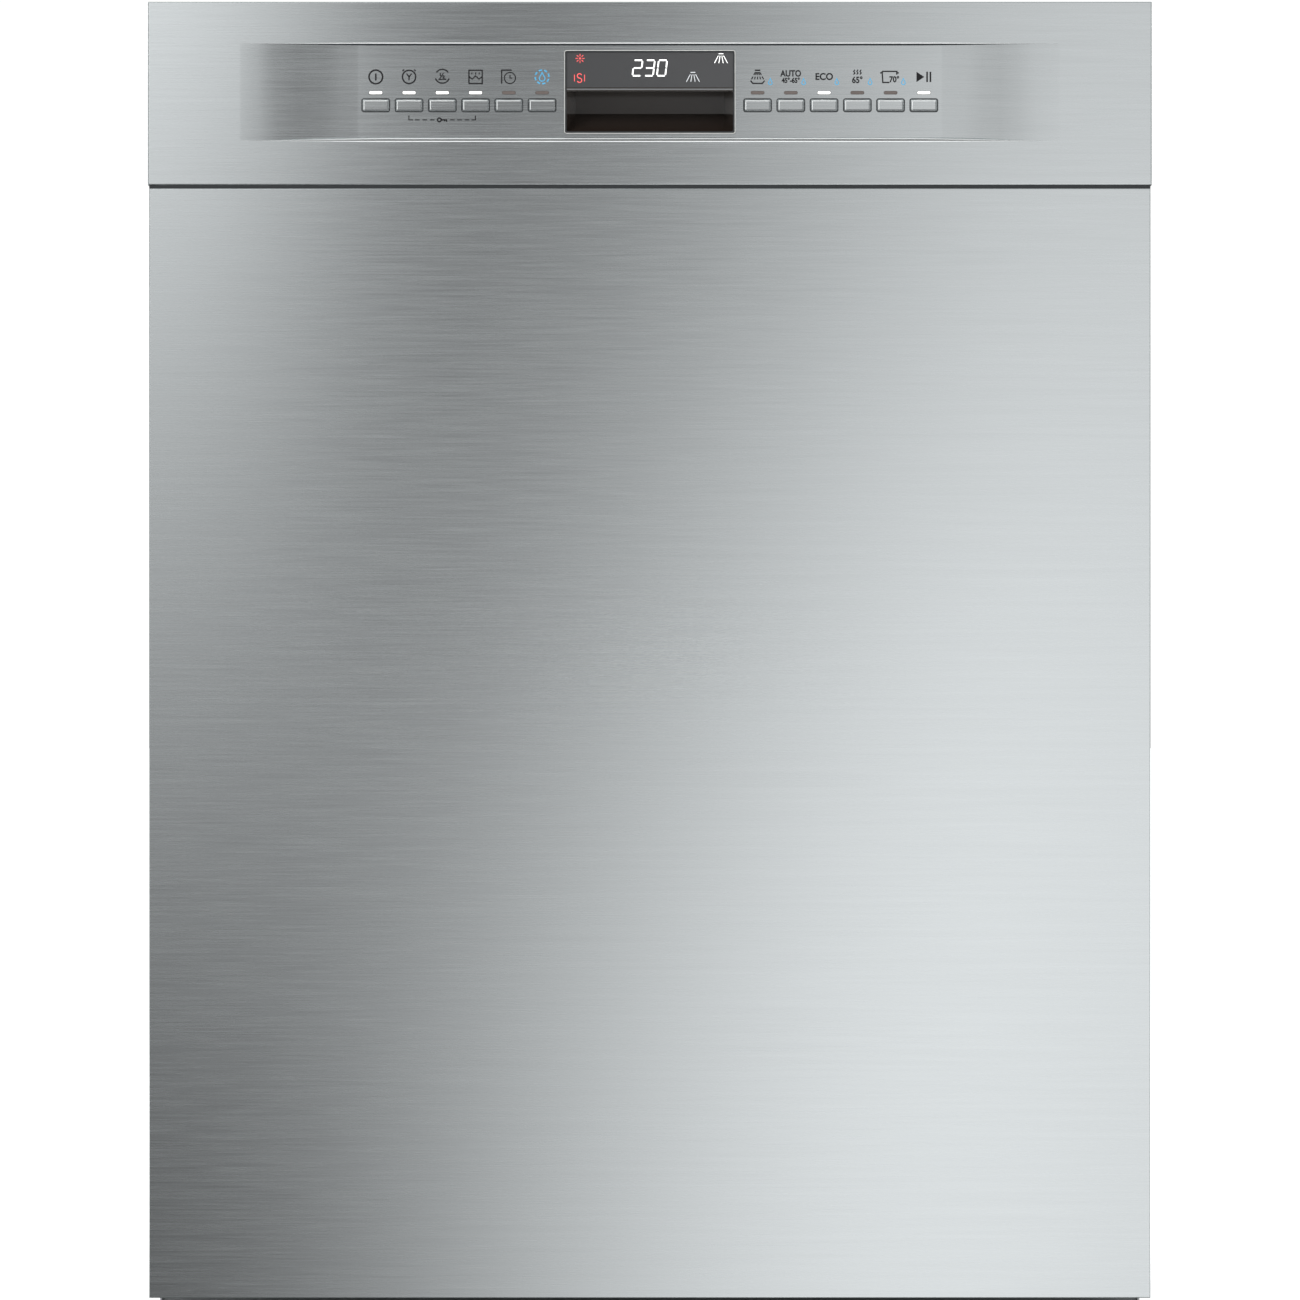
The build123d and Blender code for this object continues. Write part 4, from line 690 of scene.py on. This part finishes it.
def make_floor():
    """A pale studio floor that fades into the white surroundings."""
    material, nodes, links = stage_material("pale_floor")
    output = nodes.new("ShaderNodeOutputMaterial")
    diffuse = nodes.new("ShaderNodeBsdfDiffuse")
    diffuse.inputs["Color"].default_value = (0.92, 0.92, 0.92, 1)
    lift = nodes.new("ShaderNodeEmission")
    place = nodes.new("ShaderNodeTexCoord")
    distance = nodes.new("ShaderNodeVectorMath")
    distance.operation = "LENGTH"
    links.new(place.outputs["Object"], distance.inputs[0])
    glow = nodes.new("ShaderNodeMapRange")
    glow.interpolation_type = "SMOOTHSTEP"
    # the floor's own glow grows from 0.5 m to 1.6 m from the middle, until it meets the white
    for socket, value in (("From Min", 0.5), ("From Max", 1.6), ("To Min", 0.32), ("To Max", 1.0)):
        glow.inputs[socket].default_value = value
    links.new(distance.outputs["Value"], glow.inputs["Value"])
    links.new(glow.outputs["Result"], lift.inputs["Strength"])
    add = nodes.new("ShaderNodeAddShader")
    links.new(diffuse.outputs["BSDF"], add.inputs[0])
    links.new(lift.outputs["Emission"], add.inputs[1])
    links.new(add.outputs["Shader"], output.inputs["Surface"])
    mesh = bpy.data.meshes.new("floor")
    reach = 30.0
    mesh.from_pydata([(-reach, -reach, 0), (reach, -reach, 0), (reach, reach, 0), (-reach, reach, 0)], [],
                     [(0, 1, 2, 3)])
    mesh.materials.append(material)
    floor = bpy.data.objects.new("floor", mesh)
    bpy.context.scene.collection.objects.link(floor)
    floor.visible_glossy = False     # the steel mirrors the light board below floor level too


CARD_DISTANCE = 1.4                  # from the door's face
CAMERA_DISTANCE = 4.302              # from the door's face
CAMERA_DROP = 0.3862                 # below the panel's top edge
CARD_HALF = 1.5


def make_reflection_card():
    """A soft light board in front of the door, bright at the right and at the upper left.

    The camera does not see it; only the steel does, as the mirror image of a shaped softbox.
    """
    material, nodes, links = stage_material("light_board")

    def maths(operation, one, two=0.0):
        node = nodes.new("ShaderNodeMath")
        node.operation = operation
        for socket, value in zip(node.inputs, (one, two)):
            if isinstance(value, (int, float)):
                socket.default_value = value
            else:
                links.new(value, socket)
        return node.outputs["Value"]

    def smooth(value, low, high):
        node = nodes.new("ShaderNodeMapRange")
        node.interpolation_type = "SMOOTHSTEP"
        for socket, source in (("Value", value), ("From Min", low), ("From Max", high)):
            if isinstance(source, (int, float)):
                node.inputs[socket].default_value = source
            else:
                links.new(source, node.inputs[socket])
        return node.outputs["Result"]

    place = nodes.new("ShaderNodeTexCoord")
    split = nodes.new("ShaderNodeSeparateXYZ")
    links.new(place.outputs["Object"], split.inputs["Vector"])
    spread = 1 + CARD_DISTANCE / CAMERA_DISTANCE
    across = maths("DIVIDE", split.outputs["X"], spread)
    height = maths("DIVIDE", split.outputs["Z"], spread)
    # right-hand lobe: its edge leans outwards and its level drops a little towards the top
    lean = smooth(height, -0.40, 0.42)
    edge = maths("ADD", maths("MULTIPLY", lean, 0.205), -0.085)
    right = smooth(across, maths("ADD", edge, -0.23), maths("ADD", edge, 0.23))
    right_level = maths("SUBTRACT", maths("SUBTRACT", 1.22, maths("MULTIPLY", lean, 0.30)),
                        maths("MULTIPLY", smooth(across, 0.17, 0.36), 0.18))
    right = maths("MULTIPLY", right, right_level)
    # left-hand lobe: strong at the top, gone below the middle
    left_level = maths("ADD", maths("MULTIPLY", smooth(height, -0.20, 0.34), 0.78),
                       maths("MULTIPLY", smooth(height, 0.20, 0.42), 0.56))
    left = maths("MULTIPLY", smooth(maths("MULTIPLY", across, -1.0), 0.14, 0.275), left_level)
    base = maths("ADD", maths("MULTIPLY", smooth(height, -0.45, -0.12), 0.19),
                 maths("SUBTRACT", 0.05, maths("MULTIPLY", smooth(height, 0.0, 0.35), 0.08)))
    level = maths("ADD", maths("ADD", right, left), base)
    glow = nodes.new("ShaderNodeEmission")
    glow.inputs["Color"].default_value = (0.985, 0.995, 1.0, 1)
    links.new(level, glow.inputs["Strength"])
    output = nodes.new("ShaderNodeOutputMaterial")
    links.new(glow.outputs["Emission"], output.inputs["Surface"])
    mesh = bpy.data.meshes.new("light_board")
    corners = [(-CARD_HALF, 0, -CARD_HALF), (CARD_HALF, 0, -CARD_HALF),
               (CARD_HALF, 0, CARD_HALF), (-CARD_HALF, 0, CARD_HALF)]
    mesh.from_pydata(corners, [], [(0, 1, 2, 3)])
    mesh.materials.append(material)
    card = bpy.data.objects.new("light_board", mesh)
    card.location = (0, FRONT - CARD_DISTANCE, PANEL_TOP - CAMERA_DROP)
    card.visible_camera = False
    card.visible_shadow = False
    bpy.context.scene.collection.objects.link(card)


def make_light(name, place, target, size, power, colour=(1, 1, 1)):
    lamp = bpy.data.lights.new(name, "AREA")
    lamp.shape = "RECTANGLE"
    lamp.size, lamp.size_y = size
    lamp.energy = power
    lamp.color = colour
    holder = bpy.data.objects.new(name, lamp)
    holder.location = place
    holder.rotation_euler = (Vector(target) - Vector(place)).to_track_quat("-Z", "Y").to_euler()
    bpy.context.scene.collection.objects.link(holder)


def make_world():
    """White surroundings for the camera, dimmer ones for reflections and fill."""
    world = bpy.data.worlds.new("studio")
    world.use_nodes = True
    nodes, links = world.node_tree.nodes, world.node_tree.links
    nodes.clear()
    rays = nodes.new("ShaderNodeLightPath")
    fill = nodes.new("ShaderNodeBackground")
    fill.inputs["Color"].default_value = (0.95, 1.0, 1.0, 1)
    place = nodes.new("ShaderNodeTexCoord")
    split = nodes.new("ShaderNodeSeparateXYZ")
    links.new(place.outputs["Generated"], split.inputs["Vector"])
    climb = nodes.new("ShaderNodeMapRange")
    climb.interpolation_type = "SMOOTHSTEP"
    for socket, value in (("From Min", -0.5), ("From Max", 0.6), ("To Min", 0.20), ("To Max", 0.64)):
        climb.inputs[socket].default_value = value
    links.new(split.outputs["Z"], climb.inputs["Value"])
    links.new(climb.outputs["Result"], fill.inputs["Strength"])
    seen = nodes.new("ShaderNodeBackground")
    seen.inputs["Color"].default_value = (1, 1, 1, 1)
    seen.inputs["Strength"].default_value = 1.05
    choose = nodes.new("ShaderNodeMixShader")
    output = nodes.new("ShaderNodeOutputWorld")
    links.new(rays.outputs["Is Camera Ray"], choose.inputs["Fac"])
    links.new(fill.outputs["Background"], choose.inputs[1])
    links.new(seen.outputs["Background"], choose.inputs[2])
    links.new(choose.outputs["Shader"], output.inputs["Surface"])
    bpy.context.scene.world = world


def make_camera():
    """A long lens straight in front of the door, near the middle of the front's height."""
    camera_data = bpy.data.cameras.new("camera")
    camera_data.sensor_width = 36.0
    camera_data.lens = 200.0
    camera_data.clip_end = 100.0
    camera = bpy.data.objects.new("camera", camera_data)
    camera.location = (0.0001, FRONT - CAMERA_DISTANCE, PANEL_TOP - CAMERA_DROP)
    camera.rotation_euler = (math.pi / 2, 0, 0)
    bpy.context.scene.collection.objects.link(camera)
    bpy.context.scene.camera = camera


make_floor()
make_reflection_card()
make_world()
make_camera()
make_light("key_light", (-2.2, -2.6, 3.2), (0, 0, 0.5), (1.6, 1.6), 55)
make_light("fill_light", (2.8, 1.6, 2.4), (0, 0, 0.5), (2.0, 2.0), 45)
make_light("back_light", (-1.8, 3.2, 2.0), (0, 0, 0.4), (1.8, 1.8), 40)
bpy.context.scene.view_settings.view_transform = "Standard"
